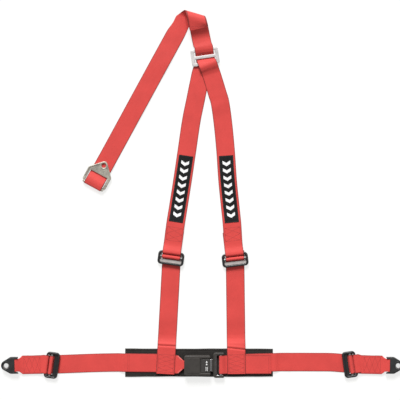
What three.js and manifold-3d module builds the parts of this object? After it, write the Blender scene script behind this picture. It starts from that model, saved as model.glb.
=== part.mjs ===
// Three-point racing harness with 50 mm webbing, laid out flat on its back.
// Millimetres, +Z up. X runs along the lap belts, Y from the lap belts up to the rear strap.
// The origin is under the middle of the whole harness, on the surface that it lies on.
import * as THREE from "three";
import { mergeVertices } from "three/addons/utils/BufferGeometryUtils.js";
import Module from "manifold-3d";

const wasm = await Module();
wasm.setup();

// Driving dimensions.
const web = { width: 50, thick: 1.5, gap: 0.3 };
const layer = web.thick + web.gap;
const floorLevel = web.thick / 2;
const pad = { x0: -208, x1: 191, y: -453, height: 76, thick: 4 };
const onPad = pad.thick + web.gap + floorLevel;
const buckle = { x: -14.2, y: -458.3, length: 63.6, width: 54, z0: 4.3, zSplit: 11, z1: 22.5, wall: 2 };
const blade = { z0: 8.7, z1: 11.2, halfWidth: 16, nose: -12.3 };
const adjuster = { length: 38, halfWidth: 35.5, inside: 28.5, z0: 1.8, z1: 10.8, barRadius: 3, barZ: 6.65 };
const fixedBar = 4;
const floatingBar = 16.5;
const gripStart = 24.5;
const barTravel = 2;
const anchor = { barZ: 8.15, barRadius: 3, halfWidth: 20.4, slotHalf: 17.4, eye: 23.8, eyeRadius: 6, tip: 11.5 };
const boot = { wall: 1.4, z0: 1.8, z1: 14.5, mouth: 1, opening: 10 };
const rearPlate = { barZ: 5.4, barRadius: 3.5, halfWidth: 34.5, slotHalf: 27, slotEnd: 34.6, eye: 60.6, tip: 12 };
const slide = { x: 7.6, y: 372.3, width: 75, height: 45, z0: 3.6, z1: 7.1, bar: 7.6, middle: 8.4, turn: 8 };
const rear = { x: -294.4, y: 25.7, heading: 61.4 };
const fold = { slope: -5.1, lean: 23.5, half: 15, rise: 11, across: 54.5 };
const label = { length: 184, width: 38.5, thick: 1.2 };

const rad = THREE.MathUtils.degToRad;

// Materials.
function finish(color, roughness, metalness) {
  return new THREE.MeshStandardMaterial({ color, roughness, metalness });
}
const webbing = finish(0xd23c38, 0.75, 0);
const blackSteel = finish(0x17181a, 0.35, 0.6);
const zinc = finish(0xc3c8c4, 0.35, 0.9);
const steel = finish(0xb5b8ba, 0.3, 1);
const blackPlastic = finish(0x1b1c1e, 0.5, 0);
const blackFabric = finish(0x202022, 0.9, 0);
const rubber = finish(0x18191a, 0.7, 0);
const springSteel = finish(0x8d9093, 0.35, 1);

const harness = new THREE.Group();

function add(name, geometry, material, parent = harness) {
  const mesh = new THREE.Mesh(geometry, material);
  mesh.name = name;
  parent.add(mesh);
  return mesh;
}

// A group whose X axis points along a heading in degrees, at a place on the floor.
function place(x, y, heading) {
  const group = new THREE.Group();
  group.position.set(x, y, 0);
  group.rotation.z = rad(heading);
  harness.add(group);
  return group;
}

// Solids and cuts.
function solid(geometry) {
  const bare = geometry.index ? geometry.toNonIndexed() : geometry.clone();
  bare.deleteAttribute("normal");
  bare.deleteAttribute("uv");
  const merged = mergeVertices(bare, 1e-4);
  const triVerts = new Uint32Array(merged.index.array);
  return new wasm.Manifold(new wasm.Mesh({ numProp: 3, vertProperties: merged.attributes.position.array, triVerts }));
}

function geometryOf(manifold) {
  const mesh = manifold.getMesh();
  const geometry = new THREE.BufferGeometry();
  geometry.setAttribute("position", new THREE.BufferAttribute(new Float32Array(mesh.vertProperties), 3));
  geometry.setIndex(new THREE.BufferAttribute(new Uint32Array(mesh.triVerts), 1));
  return geometry;
}

function join(...geometries) {
  return geometryOf(geometries.map(solid).reduce((all, next) => all.add(next)));
}

function cut(geometry, ...tools) {
  return geometryOf(tools.map(solid).reduce((left, tool) => left.subtract(tool), solid(geometry)));
}

function box(x0, x1, y0, y1, z0, z1) {
  const geometry = new THREE.BoxGeometry(x1 - x0, y1 - y0, z1 - z0);
  return geometry.translate((x0 + x1) / 2, (y0 + y1) / 2, (z0 + z1) / 2);
}

// A box centred across the Y axis.
function wideBox(x0, x1, halfWidth, z0, z1) {
  return box(x0, x1, -halfWidth, halfWidth, z0, z1);
}

// A round bar along Y.
function crossBar(radius, halfLength, x, z, sides = 20) {
  return new THREE.CylinderGeometry(radius, radius, 2 * halfLength, sides).translate(x, 0, z);
}

// A round bar along Z.
function post(radius, x, y, z0, z1, sides = 16) {
  const geometry = new THREE.CylinderGeometry(radius, radius, z1 - z0, sides).rotateX(Math.PI / 2);
  return geometry.translate(x, y, (z0 + z1) / 2);
}

// A flat plate from an outline, between two heights.
function slab(shape, z0, z1, curveSegments = 6) {
  return new THREE.ExtrudeGeometry(shape, { depth: z1 - z0, bevelEnabled: false, curveSegments }).translate(0, 0, z0);
}

function roundedRect(x0, x1, y0, y1, r) {
  const shape = new THREE.Shape();
  shape.moveTo(x0 + r, y0);
  shape.absarc(x1 - r, y0 + r, r, -Math.PI / 2, 0);
  shape.absarc(x1 - r, y1 - r, r, 0, Math.PI / 2);
  shape.absarc(x0 + r, y1 - r, r, Math.PI / 2, Math.PI);
  shape.absarc(x0 + r, y0 + r, r, Math.PI, 1.5 * Math.PI);
  return shape;
}

// A side profile drawn in X and Z, spread across Y between two values.
function profileAcross(shape, y0, y1, curveSegments = 5) {
  const geometry = new THREE.ExtrudeGeometry(shape, { depth: y1 - y0, bevelEnabled: false, curveSegments });
  return geometry.rotateX(Math.PI / 2).translate(0, y1, 0);
}

// A plate with straight sides that closes to a round nose about its eye.
function noseOutline(start, straight, halfWidth, eye, radius) {
  const shape = new THREE.Shape();
  const side = rad(62);
  shape.moveTo(start, -halfWidth);
  shape.lineTo(straight, -halfWidth);
  shape.absarc(eye, 0, radius, -side, side);
  shape.lineTo(straight, halfWidth);
  shape.lineTo(start, halfWidth);
  return shape;
}

class Helix extends THREE.Curve {
  constructor(radius, length, turns) {
    super();
    Object.assign(this, { radius, length, turns });
  }
  getPoint(t, target = new THREE.Vector3()) {
    const angle = 2 * Math.PI * this.turns * t;
    return target.set(this.length * t, this.radius * Math.cos(angle), this.radius * Math.sin(angle));
  }
}

// A coil spring along X from the origin.
function spring(radius, wire, length, turns) {
  const section = new THREE.Shape();
  section.absarc(0, 0, wire, 0, 2 * Math.PI);
  const extrudePath = new Helix(radius, length, turns);
  const settings = { steps: 10 * turns, bevelEnabled: false, extrudePath, curveSegments: 3 };
  return new THREE.ExtrudeGeometry(section, settings);
}

// Webbing: a flat band through stations { p, angle, width }. Angle is the heading of the band in plan.
// Each station has four corners, across the band and through its thickness.
function band(stations, { thick = web.thick, width = web.width, lift = 0 } = {}) {
  const rings = stations.map((station, i) => {
    const before = stations[Math.max(i - 1, 0)].p;
    const after = stations[Math.min(i + 1, stations.length - 1)].p;
    const arriving = station.p.clone().sub(before).normalize();
    const leaving = after.clone().sub(station.p).normalize();
    const along = arriving.add(leaving).normalize();
    const across = new THREE.Vector3(-Math.sin(rad(station.angle)), Math.cos(rad(station.angle)), 0);
    const normal = along.clone().cross(across).normalize();
    const half = (station.width ?? width) / 2;
    return [[-1, -1], [1, -1], [1, 1], [-1, 1]].map(([side, face]) =>
      station.p.clone().addScaledVector(across, side * half).addScaledVector(normal, lift + (face * thick) / 2));
  });
  const position = rings.flat().flatMap((corner) => corner.toArray());
  const index = [];
  for (let ring = 0; ring < rings.length - 1; ring++) {
    for (let corner = 0; corner < 4; corner++) {
      const a = 4 * ring + corner;
      const b = 4 * ring + ((corner + 1) % 4);
      index.push(a, b, b + 4, a, b + 4, a + 4);
    }
  }
  const last = 4 * (rings.length - 1);
  index.push(0, 2, 1, 0, 3, 2, last, last + 1, last + 2, last, last + 2, last + 3);
  const geometry = new THREE.BufferGeometry();
  geometry.setAttribute("position", new THREE.Float32BufferAttribute(position, 3));
  geometry.setIndex(index);
  if (volume(geometry) < 0) turnRound(geometry);
  return geometry;
}

function volume(geometry) {
  const position = geometry.attributes.position;
  const [a, b, c] = [new THREE.Vector3(), new THREE.Vector3(), new THREE.Vector3()];
  let sum = 0;
  for (let i = 0; i < geometry.index.count; i += 3) {
    a.fromBufferAttribute(position, geometry.index.getX(i));
    b.fromBufferAttribute(position, geometry.index.getX(i + 1));
    c.fromBufferAttribute(position, geometry.index.getX(i + 2));
    sum += a.dot(b.cross(c)) / 6;
  }
  return sum;
}

function turnRound(geometry) {
  const index = geometry.index.array;
  for (let i = 0; i < index.length; i += 3) [index[i + 1], index[i + 2]] = [index[i + 2], index[i + 1]];
}

// Stations laid out from a point along a heading: each is [distance, height] or [distance, height, width].
function run(x, y, angle, places) {
  const c = Math.cos(rad(angle));
  const s = Math.sin(rad(angle));
  return places.map(([u, z, width]) => ({ p: new THREE.Vector3(x + u * c, y + u * s, z), angle, width }));
}

// Stations through plan points at one height, each with its own heading.
function trail(points) {
  return points.map(([x, y, z, angle]) => ({ p: new THREE.Vector3(x, y, z), angle }));
}

// Points of a turn round a bar, in distance and height.
function turn(u, z, radius, from, to, steps, width) {
  return Array.from({ length: steps + 1 }, (_, i) => {
    const angle = rad(from + ((to - from) * i) / steps);
    return [u + radius * Math.cos(angle), z + radius * Math.sin(angle), width];
  });
}

// The buckle: moulded shells, a steel channel, and the latch, ejector and push button inside.
function buildBuckle() {
  const group = place(0, buckle.y, 0);
  const x0 = buckle.x - buckle.length / 2;
  const x1 = buckle.x + buckle.length / 2;
  const half = buckle.width / 2;
  const { wall, z0, zSplit, z1 } = buckle;
  const outline = roundedRect(x0, x1, -half, half, 6);
  const crown = roundedRect(x0 + 2, x1 - 2, -half + 2, half - 2, 5);
  const webMouth = wideBox(x0 - 1, x0 + 4, 13.5, z0 + wall, 18);
  const cornerScrews = [[x0 + 3.8, -20], [x0 + 3.8, 20], [x1 - 3.4, -23], [x1 - 3.4, 23]];
  const button = { back: -12, face: x1 - 0.4, half: 18.5, z0: 13.2, z1: 20 };

  let top = join(slab(outline, zSplit, z1 - 1.5), slab(crown, z1 - 1.6, z1));
  top = cut(
    top,
    wideBox(x0 + wall, x1 - 6, half - wall, zSplit - 1, z1 - 2.2),
    wideBox(x1 - 7, x1 + 1, button.half + 0.5, zSplit - 1, z1 - 2.2),
    wideBox(-4, x1 + 1, button.half + 0.5, zSplit - 1, z1 + 1),
    webMouth,
  );
  const stops = [-14, 14].map((y) => box(-26, -24, y - 3, y + 3, 16.4, z1 - 2));
  const bosses = cornerScrews.slice(0, 2).map(([x, y]) => post(2.2, x, y, zSplit, z1 - 2));
  const pilots = cornerScrews.map(([x, y]) => post(1.4, x, y, zSplit - 1, zSplit + 7));
  add("buckle_top_cover", cut(join(top, ...stops, ...bosses), ...pilots), blackPlastic, group);

  const tray = cut(
    slab(outline, z0, zSplit - web.gap),
    wideBox(x0 + wall + 5, x1 - 6, half - wall, z0 + 1.8, zSplit),
    wideBox(x0 + wall, x0 + wall + 6, 17, z0 + 1.8, zSplit),
    wideBox(x1 - 7, x1 + 1, blade.halfWidth + 2, blade.z0 - 0.5, zSplit),
    webMouth,
    ...cornerScrews.map(([x, y]) => post(1.4, x, y, z0 - 1, zSplit + 1)),
    ...cornerScrews.map(([x, y]) => post(2.4, x, y, z0 - 1, z0 + 1.6)),
  );
  add("buckle_bottom_cover", tray, blackPlastic, group);
  cornerScrews.forEach(([x, y], i) => {
    const screw = join(post(1.1, x, y, z0 + 0.3, zSplit + 5), post(2.1, x, y, z0 + 0.2, z0 + 1.3));
    add(`cover_screw_${i + 1}`, screw, steel, group);
  });

  const webBar = { x: -35, z: 13, radius: 2.5 };
  const pawlPin = { x: -20, z: 14.6, radius: 1.5 };
  const channel = cut(
    join(
      wideBox(-38.7, 11, 21, 6.4, 8.4),
      box(-38.7, 11, 19, 21, 7, 17.2),
      box(-38.7, 11, -21, -19, 7, 17.2),
      wideBox(-30, -29, 4, 8, 11),
    ),
    crossBar(webBar.radius + 0.3, 30, webBar.x, webBar.z),
    crossBar(pawlPin.radius + 0.3, 30, pawlPin.x, pawlPin.z),
    wideBox(2, 8, 10, 6, 9),
  );
  add("buckle_channel", channel, steel, group);
  add("buckle_web_bar", crossBar(webBar.radius, 22, webBar.x, webBar.z), steel, group);
  add("pawl_pin", crossBar(pawlPin.radius, 22, pawlPin.x, pawlPin.z), steel, group);

  const pawl = cut(
    join(crossBar(3, 8, pawlPin.x, pawlPin.z), wideBox(-19.5, -3, 8, 13.1, 15.4), wideBox(-8, -4, 8, 11.6, 14)),
    crossBar(pawlPin.radius + 0.3, 9, pawlPin.x, pawlPin.z),
  );
  add("latch_pawl", pawl, steel, group);
  const pawlSpring = spring(2.5, 0.45, 3, 3).rotateZ(Math.PI / 2).translate(pawlPin.x, 8.7, pawlPin.z);
  add("pawl_spring", pawlSpring, springSteel, group);

  add("ejector", wideBox(-23.5, blade.nose - 0.3, 7, blade.z0, blade.z1), blackPlastic, group);
  add("ejector_spring", spring(0.9, 0.3, 4.4, 5).translate(-28.4, 0, 9.95), springSteel, group);

  const press = cut(
    wideBox(button.back, button.face, button.half, button.z0, button.z1),
    wideBox(button.back - 1, 2.2, 10, button.z0 - 1, 18.4),
    wideBox(4, button.face - 2.4, 15, button.z0 - 1, 18),
    wideBox(button.face - 1, button.face + 1, 12, 15, 18.4),
  );
  add("release_button", press, blackPlastic, group);
  [-14, 14].forEach((y, i) => {
    const coil = spring(1.4, 0.4, 10.6, 6).translate(-23.3, y, 18.3);
    add(`button_spring_${i + 1}`, coil, springSteel, group);
  });
}

// The tongue: a steel blade with its latch window and web slot, in a moulded cover.
function buildTongue() {
  const group = place(0, buckle.y, 0);
  const loopX = 50;
  const barZ = (blade.z0 + blade.z1) / 2;
  const plate = cut(
    join(
      slab(roundedRect(blade.nose, 40, -blade.halfWidth, blade.halfWidth, 4), blade.z0, blade.z1),
      slab(roundedRect(31, 56, -30.5, 30.5, 3), blade.z0, blade.z1),
    ),
    wideBox(-9.5, -1.5, 9, 8, 12),
    wideBox(38, 60, 26.6, 8, 12),
  );
  add("tongue_plate", join(plate, crossBar(3, 26.9, loopX, barZ)), steel, group);
  const cover = cut(
    join(
      slab(roundedRect(30.5, 59, -34, 34, 7), 6.2, 13.6),
      slab(roundedRect(32, 57.5, -32.5, 32.5, 6), 5.2, 14.6),
    ),
    wideBox(37, 60, 27.2, 4, 16),
    wideBox(30, 56.4, 30.9, blade.z0 - 0.3, blade.z1 + 0.3),
  );
  add("tongue_cover", cover, blackPlastic, group);
}

// Lap pad: a flat padded sleeve under the buckle and the sewn joints.
function buildPad() {
  const y0 = pad.y - pad.height / 2;
  const outline = roundedRect(pad.x0, pad.x1, y0, y0 + pad.height, 3);
  add("lap_pad", slab(outline, 0, pad.thick), blackFabric);
}

// Lap belts: from the adjuster over the pad to a loop round the bar, then back over themselves.
function buildLapBelts() {
  const upper = onPad + layer;
  const bar = web.thick / 2 + web.gap + 2.5;
  const left = [
    ...trail([[-409, -457.8, floorLevel, 1], [-373, -456.6, floorLevel, 1.5], [-247, -452.5, floorLevel, 1]]),
    ...trail([[-228, -452.3, floorLevel, 0], [-211, -452.3, onPad, 0], [-100, -453.5, onPad, 0]]),
    ...run(-35, buckle.y + 1.5, 0, [
      [-38, onPad], [-33, onPad + 0.3, 46], [-22, onPad + 1.4, 24], [-11, 8.2, 23], [-4, 9.45, 23],
      ...turn(0, 13, bar, -90, 90, 8, 23),
      [-5, 16, 23], [-12, 13.8, 23], [-22, 10.2, 24], [-32, upper + 0.9, 46], [-37, upper],
    ]),
    ...trail([[-126, -453.5, upper, 0]]),
  ];
  add("left_lap_belt", band(left), webbing);

  const z = (blade.z0 + blade.z1) / 2;
  const round = 3 + web.gap + web.thick / 2;
  const right = [
    ...trail([[133, -453, upper, 180]]),
    ...run(50, buckle.y + 1, 180, [
      [-16, upper], [-12.5, upper + 1], [-6.5, 11.6], [-2, 13.7],
      ...turn(0, z, round, 90, -90, 8),
      [-6, 5.6], [-14, onPad], [-40, onPad],
    ]),
    ...trail([[194, -451.5, onPad, 180], [211, -451.3, floorLevel, 180], [232, -451.2, floorLevel, 180]]),
    ...trail([[336, -451.5, floorLevel, 180], [402, -456, floorLevel, 178]]),
  ];
  add("right_lap_belt", band(right), webbing);
}

// Lower shoulder straps: sewn on the lap belts, up over the pad's edge, and flat under the adjusters.
function buildLowerStraps() {
  const sewn = onPad + 2 * layer;
  const climb = [[0, sewn], [60, sewn], [72, sewn - 1.6], [88, 2.2], [102, floorLevel]];
  const leftHeading = 86.9;
  const left = run(-99.5, -482, leftHeading, [...climb, [200, floorLevel], [316, floorLevel]]);
  add("left_lower_strap", band(left), webbing);
  const rightHeading = 90.7;
  const split = 175;
  const rightSewn = run(92.5, -482, rightHeading, [...climb, [split - web.gap, floorLevel]]);
  add("right_lower_strap", band(rightSewn), webbing);
  const rightTop = run(92.5, -482, rightHeading, [[split, floorLevel], [312, floorLevel]]);
  add("right_lower_strap_top", band(rightTop), webbing);
}

// A three-bar adjuster, from its fixed bar to its grip, with the floating bar and the web rolled on it.
function buildAdjuster(name, x, y, heading) {
  const group = place(x, y, heading);
  const { length, halfWidth, inside, z0, z1, barRadius, barZ } = adjuster;
  const middle = length / 2;
  const side = roundedRect(-middle, length - middle, z0, z1, 3.5);
  const floatAt = floatingBar - middle;
  const slot = roundedRect(floatAt - barTravel - 3.3, floatAt + 3.3, barZ - 3.3, barZ + 3.3, 3.2);
  const grip = new THREE.Shape();
  grip.moveTo(gripStart - middle, 4.4);
  grip.lineTo(middle - 5, 4.4);
  grip.lineTo(middle - 1, 6.6);
  grip.lineTo(middle, 9.4);
  grip.lineTo(middle - 2.6, 9.8);
  grip.lineTo(middle - 5, 7.6);
  grip.lineTo(gripStart - middle + 3, 7.6);
  grip.lineTo(gripStart - middle, 8.6);
  const frame = cut(
    join(
      profileAcross(side, inside, halfWidth),
      profileAcross(side, -halfWidth, -inside),
      crossBar(barRadius, inside + 2, fixedBar - middle, barZ),
      profileAcross(grip, -inside - 2, inside + 2),
    ),
    profileAcross(slot, -inside - 4.5, inside + 4.5),
  );
  add(`${name}_frame`, frame, blackSteel, group);
  add(`${name}_floating_bar`, crossBar(barRadius, inside + 4, floatAt, barZ), steel, group);
  const round = barRadius + web.gap + web.thick / 2;
  const roll = run(0, 0, 0, [...turn(floatAt, barZ, round, 262, -8, 10), [floatAt + 3.9, 3.9], [floatAt + 3.4, 2.9]]);
  add(`${name}_web_roll`, band(roll), webbing, group);
}

// The stations of a strap end that turns round an adjuster's fixed bar and lies under itself.
function fixedBarLoop(x, y, heading, under) {
  const { length, barZ, barRadius } = adjuster;
  const u = fixedBar - length / 2;
  const round = barRadius + web.gap + web.thick / 2;
  return run(x, y, heading, [
    [u - under, 2.55], [u - 6, 2.55],
    ...turn(u, barZ, round, -90, 90, 8),
    [u - 6, 9.6], [u - 16, 6.2], [u - 24, 4.35],
  ]);
}

// An end strap from the lap adjuster to the anchor, with the anchor's plate and boot.
function buildEnd(side, adjusterX, adjusterY) {
  const name = side < 0 ? "left" : "right";
  const inward = side < 0 ? -8 : 188;
  const outward = side < 0 ? 181.2 : -1.2;
  const barX = side * 504;
  const barY = -458.9;
  const narrow = 2 * anchor.slotHalf - 1;
  const round = anchor.barRadius + web.gap + web.thick / 2;
  const atAnchor = run(barX, barY, outward + 180, [
    [26, 4.35], [20, 5.2, 46], [12, 9, narrow], [5, 11.4, narrow],
    ...turn(0, anchor.barZ, round, 90, 270, 8, narrow),
    [8, 3.4, narrow], [14, 2.75, 40], [20, 2.55], [38, 2.55],
  ]);
  const atAdjuster = fixedBarLoop(adjusterX, adjusterY, inward, 30);
  add(`${name}_end_strap`, band([...atAdjuster, ...atAnchor]), webbing);

  const group = place(barX, barY, outward);
  const { halfWidth, slotHalf, eye, eyeRadius, tip, barZ, barRadius } = anchor;
  const plate = cut(
    slab(noseOutline(-1, 12, halfWidth, eye, tip), barZ - 1.5, barZ + 1.5),
    wideBox(-2, 10.5, slotHalf, 0, 20),
    post(eyeRadius, eye, 0, 0, 20, 28),
  );
  add(`${name}_anchor_plate`, join(plate, crossBar(barRadius, slotHalf + 1, 0, barZ)), zinc, group);
  const outer = noseOutline(boot.mouth, 13, halfWidth + 0.4 + boot.wall, eye, tip + 0.4 + boot.wall);
  const inner = noseOutline(boot.mouth - 1, 12, halfWidth + 0.4, eye, tip + 0.4);
  const shell = cut(
    slab(outer, boot.z0, boot.z1),
    slab(inner, boot.z0 + 1.1, boot.z1 - 1.1),
    post(boot.opening, eye, 0, 0, 20, 24),
  );
  add(`${name}_anchor_boot`, shell, rubber, group);
}

// The heading of a plan path at each of its points, taken from the points on both sides.
function headings(points) {
  return points.map((point, i) => {
    const a = points[Math.max(i - 1, 0)];
    const b = points[Math.min(i + 1, points.length - 1)];
    return [...point, (Math.atan2(b[1] - a[1], b[0] - a[0]) * 180) / Math.PI];
  });
}

// Both shoulder straps lie together from the rear seam over the slide's top bar and under its middle bar.
function slideEntry() {
  const level = slide.z1 + web.gap + web.thick + web.gap / 2;
  const low = layer - web.gap / 2;
  const seam = run(slide.x - 30.2, slide.y + 84, -71.6, [[0, level]]);
  const mouth = run(slide.x, slide.y, slide.turn - 90, [
    [-30, level], [-15.2, level], [-12.5, level - 1], [-9.3, 5.2], [-6, low + 0.6], [-3, low], [2, low],
  ]);
  return [...seam, ...mouth];
}

function buildShoulderStraps() {
  const pair = slideEntry();
  const half = layer / 2;
  const leftBelow = headings([
    [1, 340, floorLevel], [-18, 256, floorLevel], [-29, 202, floorLevel], [-41, 121, floorLevel],
    [-53, 40, floorLevel], [-64, -30, floorLevel], [-72, -80, 4],
  ]);
  const rightBelow = headings([
    [19, 337, 4.4], [32, 308, 2.6], [41, 280, 2.5], [48, 254, floorLevel], [55, 202, floorLevel],
    [63, 121, floorLevel], [68.5, 40, floorLevel], [75.5, -30, floorLevel], [80.5, -80, 4],
  ]);
  const rightRise = run(slide.x, slide.y, slide.turn - 90, [
    [4, 2.75], [6.4, 3.4], [9.5, 5.4], [12.8, 7.7], [16, 8.15], [22, 8.15], [27, 7.3],
  ]);
  const leftLevel = run(slide.x, slide.y, slide.turn - 90, [[22, floorLevel]]);
  const ends = { left: [-84.2, -170.4, -98], right: [88.6, -174.4, -83.4] };
  const straps = {
    left: [...shift(pair, -half), ...leftLevel, ...trail(leftBelow), ...tail(...ends.left)],
    right: [...shift(pair, half), ...rightRise, ...trail(rightBelow), ...tail(...ends.right)],
  };
  for (const [side, stations] of Object.entries(straps)) {
    add(`${side}_shoulder_strap`, band(stations), webbing);
    const below = side === "left" ? leftBelow : rightBelow;
    const lift = (web.thick + label.thick) / 2 + web.gap;
    const marked = trail(along(below, 106, 106 - label.length * 0.985));
    add(`${side}_label`, band(marked, { lift, thick: label.thick, width: label.width }), blackFabric);
  }
}

// The same stations moved along the band's own normal.
function shift(stations, distance) {
  return stations.map((station, i) => {
    const before = stations[Math.max(i - 1, 0)].p;
    const after = stations[Math.min(i + 1, stations.length - 1)].p;
    const across = new THREE.Vector3(-Math.sin(rad(station.angle)), Math.cos(rad(station.angle)), 0);
    const into = station.p.clone().sub(before).normalize().add(after.clone().sub(station.p).normalize());
    const normal = across.cross(into.normalize()).normalize();
    if (normal.z < 0) normal.negate();
    return { ...station, p: station.p.clone().addScaledVector(normal, distance) };
  });
}

// The part of a falling plan path between two Y values.
function along(points, top, bottom) {
  const at = (y) => {
    const i = points.findIndex((point, k) => k > 0 && point[1] <= y);
    const [a, b] = [points[i - 1], points[i]];
    const t = (a[1] - y) / (a[1] - b[1]);
    return a.map((value, k) => value + (b[k] - value) * t);
  };
  return [at(top), ...points.filter((point) => point[1] < top && point[1] > bottom), at(bottom)];
}

// The lower end of a shoulder strap: down to the adjuster's fixed bar, round it, and back under itself.
function tail(x, y, heading) {
  return fixedBarLoop(x, y, heading, 60).reverse();
}

function buildSlide() {
  const group = place(slide.x, slide.y, slide.turn);
  const [w, h] = [slide.width / 2, slide.height / 2];
  const openingHalf = w - 9;
  const frame = cut(
    slab(roundedRect(-w, w, -h, h, 5), slide.z0, slide.z1),
    box(-openingHalf, openingHalf, slide.middle / 2, h - slide.bar, 0, 10),
    box(-openingHalf, openingHalf, slide.bar - h, -slide.middle / 2, 0, 10),
  );
  add("junction_slide", frame, zinc, group);
}

// The rear strap: from its seam over the loose fold, down the left leg, round the plate's bar and back.
function buildRear() {
  const slope = rad(fold.slope);
  const f = new THREE.Vector2(Math.cos(slope), Math.sin(slope));
  const n = new THREE.Vector2(-f.y, f.x);
  const drift = Math.tan(rad(fold.lean));
  const half = Math.PI * Math.sqrt((fold.half ** 2 + fold.rise ** 2) / 2);
  const base = new THREE.Vector2(rear.x, rear.y);
  const start = new THREE.Vector2(5, 391);
  const c = (start.dot(f) - base.dot(f) + drift * (start.dot(n) + base.dot(n) - half)) / (2 * drift);
  const qTop = start.dot(f) - drift * (c - start.dot(n));
  const high = floorLevel + 2 * fold.rise;
  const at = (q, h, z, angle, width) => {
    const plan = f.clone().multiplyScalar(q).addScaledVector(n, h);
    return { p: new THREE.Vector3(plan.x, plan.y, z), angle, width };
  };
  const lean = 90 + fold.lean + fold.slope;
  const rulings = Array.from({ length: 11 }, (_, i) => {
    const t = i / 10;
    const angle = Math.PI * t;
    const h = c + fold.half * Math.sin(angle);
    const z = high - fold.rise + fold.rise * Math.cos(angle);
    return at(qTop - drift * half * t, h, z, fold.slope + 90, fold.across);
  });
  const seamZ = slide.z1 + 3 * layer - floorLevel + web.gap;
  const upper = [
    at(qTop + drift * 34, c - 34, seamZ, lean),
    at(qTop + drift * 22, c - 22, seamZ + 4.2, lean),
    at(qTop + drift * 8, c - 8, high - 1.2, fold.slope + 90, fold.across),
  ];
  const qLow = qTop - drift * half;
  const lower = [at(qLow - drift * 14, c - 14, floorLevel, fold.slope + 90, fold.across)];
  const leg = run(rear.x, rear.y, rear.heading, [
    [380, floorLevel], [200, floorLevel], [30, floorLevel], [8, floorLevel],
  ]);
  const round = rearPlate.barRadius + 0.35 + web.thick / 2;
  const loop = run(rear.x, rear.y, rear.heading, [
    ...turn(0, rearPlate.barZ, round, 270, 90, 8),
    [6, 9.6], [24, 4], [31, 2.55], [80, 2.55],
  ]);
  add("rear_strap", band([...upper, ...rulings, ...lower, ...leg, ...loop]), webbing);

  const group = place(rear.x, rear.y, rear.heading);
  const { halfWidth, slotHalf, slotEnd, eye, tip, barZ, barRadius } = rearPlate;
  const plate = cut(
    slab(noseOutline(-1.5, 42, halfWidth, eye, tip), barZ - 1.6, barZ + 1.6),
    wideBox(-3, slotEnd, slotHalf, 0, 20),
    post(6, eye, 0, 0, 20, 28),
  );
  add("rear_anchor_plate", join(plate, crossBar(barRadius, slotHalf + 1, 0, barZ)), zinc, group);
}

buildPad();
buildBuckle();
buildTongue();
buildLapBelts();
buildLowerStraps();
buildAdjuster("left_lap", -405.4, -459, -8);
buildAdjuster("right_lap", 398.6, -457, 188);
buildAdjuster("left_shoulder", -84.2, -170.4, -98);
buildAdjuster("right_shoulder", 88.6, -174.4, -83.4);
buildEnd(-1, -405.4, -459);
buildEnd(1, 398.6, -457);
buildShoulderStraps();
buildSlide();
buildRear();

harness.updateMatrixWorld(true);
const bounds = new THREE.Box3().setFromObject(harness, true);
const middle = bounds.getCenter(new THREE.Vector3());
harness.position.set(-middle.x, -middle.y, -bounds.min.z);

export default harness;
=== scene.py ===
import bpy
import bmesh
import math
import numpy as np
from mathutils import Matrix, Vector


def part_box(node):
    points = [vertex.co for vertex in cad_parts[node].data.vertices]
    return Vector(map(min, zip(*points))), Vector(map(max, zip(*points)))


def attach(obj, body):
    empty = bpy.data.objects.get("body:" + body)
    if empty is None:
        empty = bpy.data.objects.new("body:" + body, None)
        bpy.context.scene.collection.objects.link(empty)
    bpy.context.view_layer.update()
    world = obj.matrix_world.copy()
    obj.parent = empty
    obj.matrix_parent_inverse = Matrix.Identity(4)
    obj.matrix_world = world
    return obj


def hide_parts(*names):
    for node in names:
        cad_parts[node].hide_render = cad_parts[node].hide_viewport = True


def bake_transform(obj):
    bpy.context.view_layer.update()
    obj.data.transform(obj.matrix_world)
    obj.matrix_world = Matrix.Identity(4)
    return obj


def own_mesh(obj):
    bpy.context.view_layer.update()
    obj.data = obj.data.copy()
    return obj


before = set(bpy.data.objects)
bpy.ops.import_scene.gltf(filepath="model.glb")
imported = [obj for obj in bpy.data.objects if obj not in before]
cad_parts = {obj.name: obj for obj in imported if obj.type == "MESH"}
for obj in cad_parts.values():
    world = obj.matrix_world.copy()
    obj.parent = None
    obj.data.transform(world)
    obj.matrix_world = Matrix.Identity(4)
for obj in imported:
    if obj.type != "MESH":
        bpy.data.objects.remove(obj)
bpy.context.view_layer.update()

# Lengths below are millimetres on the harness drawing, whose lap pad is centred at this Y.
mm = 0.001
padDrawnAt = -453.0
padLow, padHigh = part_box("lap_pad")
drawingShift = np.array([0.0, (padLow[1] + padHigh[1]) / 2 / mm - padDrawnAt, 0.0])

harness = {
    "webWidth": 50.0,
    "webThick": 1.3,
    "layer": 1.8,        # one strap and the gap above it
    "floorLevel": 0.75,  # middle of a strap that lies on the floor
    "padTop": 4.0,
    "barZ": 6.65,
    "barLoop": 4.05,     # middle radius of a strap round an adjuster bar
    "buckleY": -458.3,
}
onPad = harness["padTop"] + 0.3 + harness["floorLevel"]


def toWorld(points):
    # drawing millimetres to metres in the shared frame
    return (np.asarray(points, float) + drawingShift) * mm


def makeMesh(name, points, faces, material, body, uv=None, smooth=True, replaced=()):
    mesh = bpy.data.meshes.new(name)
    mesh.from_pydata(toWorld(points).tolist(), [], [list(face) for face in faces])
    if uv is not None:
        layer = mesh.uv_layers.new(name="UVMap")
        index = np.empty(len(mesh.loops), dtype=np.int32)
        mesh.loops.foreach_get("vertex_index", index)
        layer.data.foreach_set("uv", np.asarray(uv, float)[index].ravel())
    piece = bpy.data.objects.new(name, mesh)
    bpy.context.scene.collection.objects.link(piece)
    return finishPiece(piece, material, body, smooth, replaced)


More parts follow.
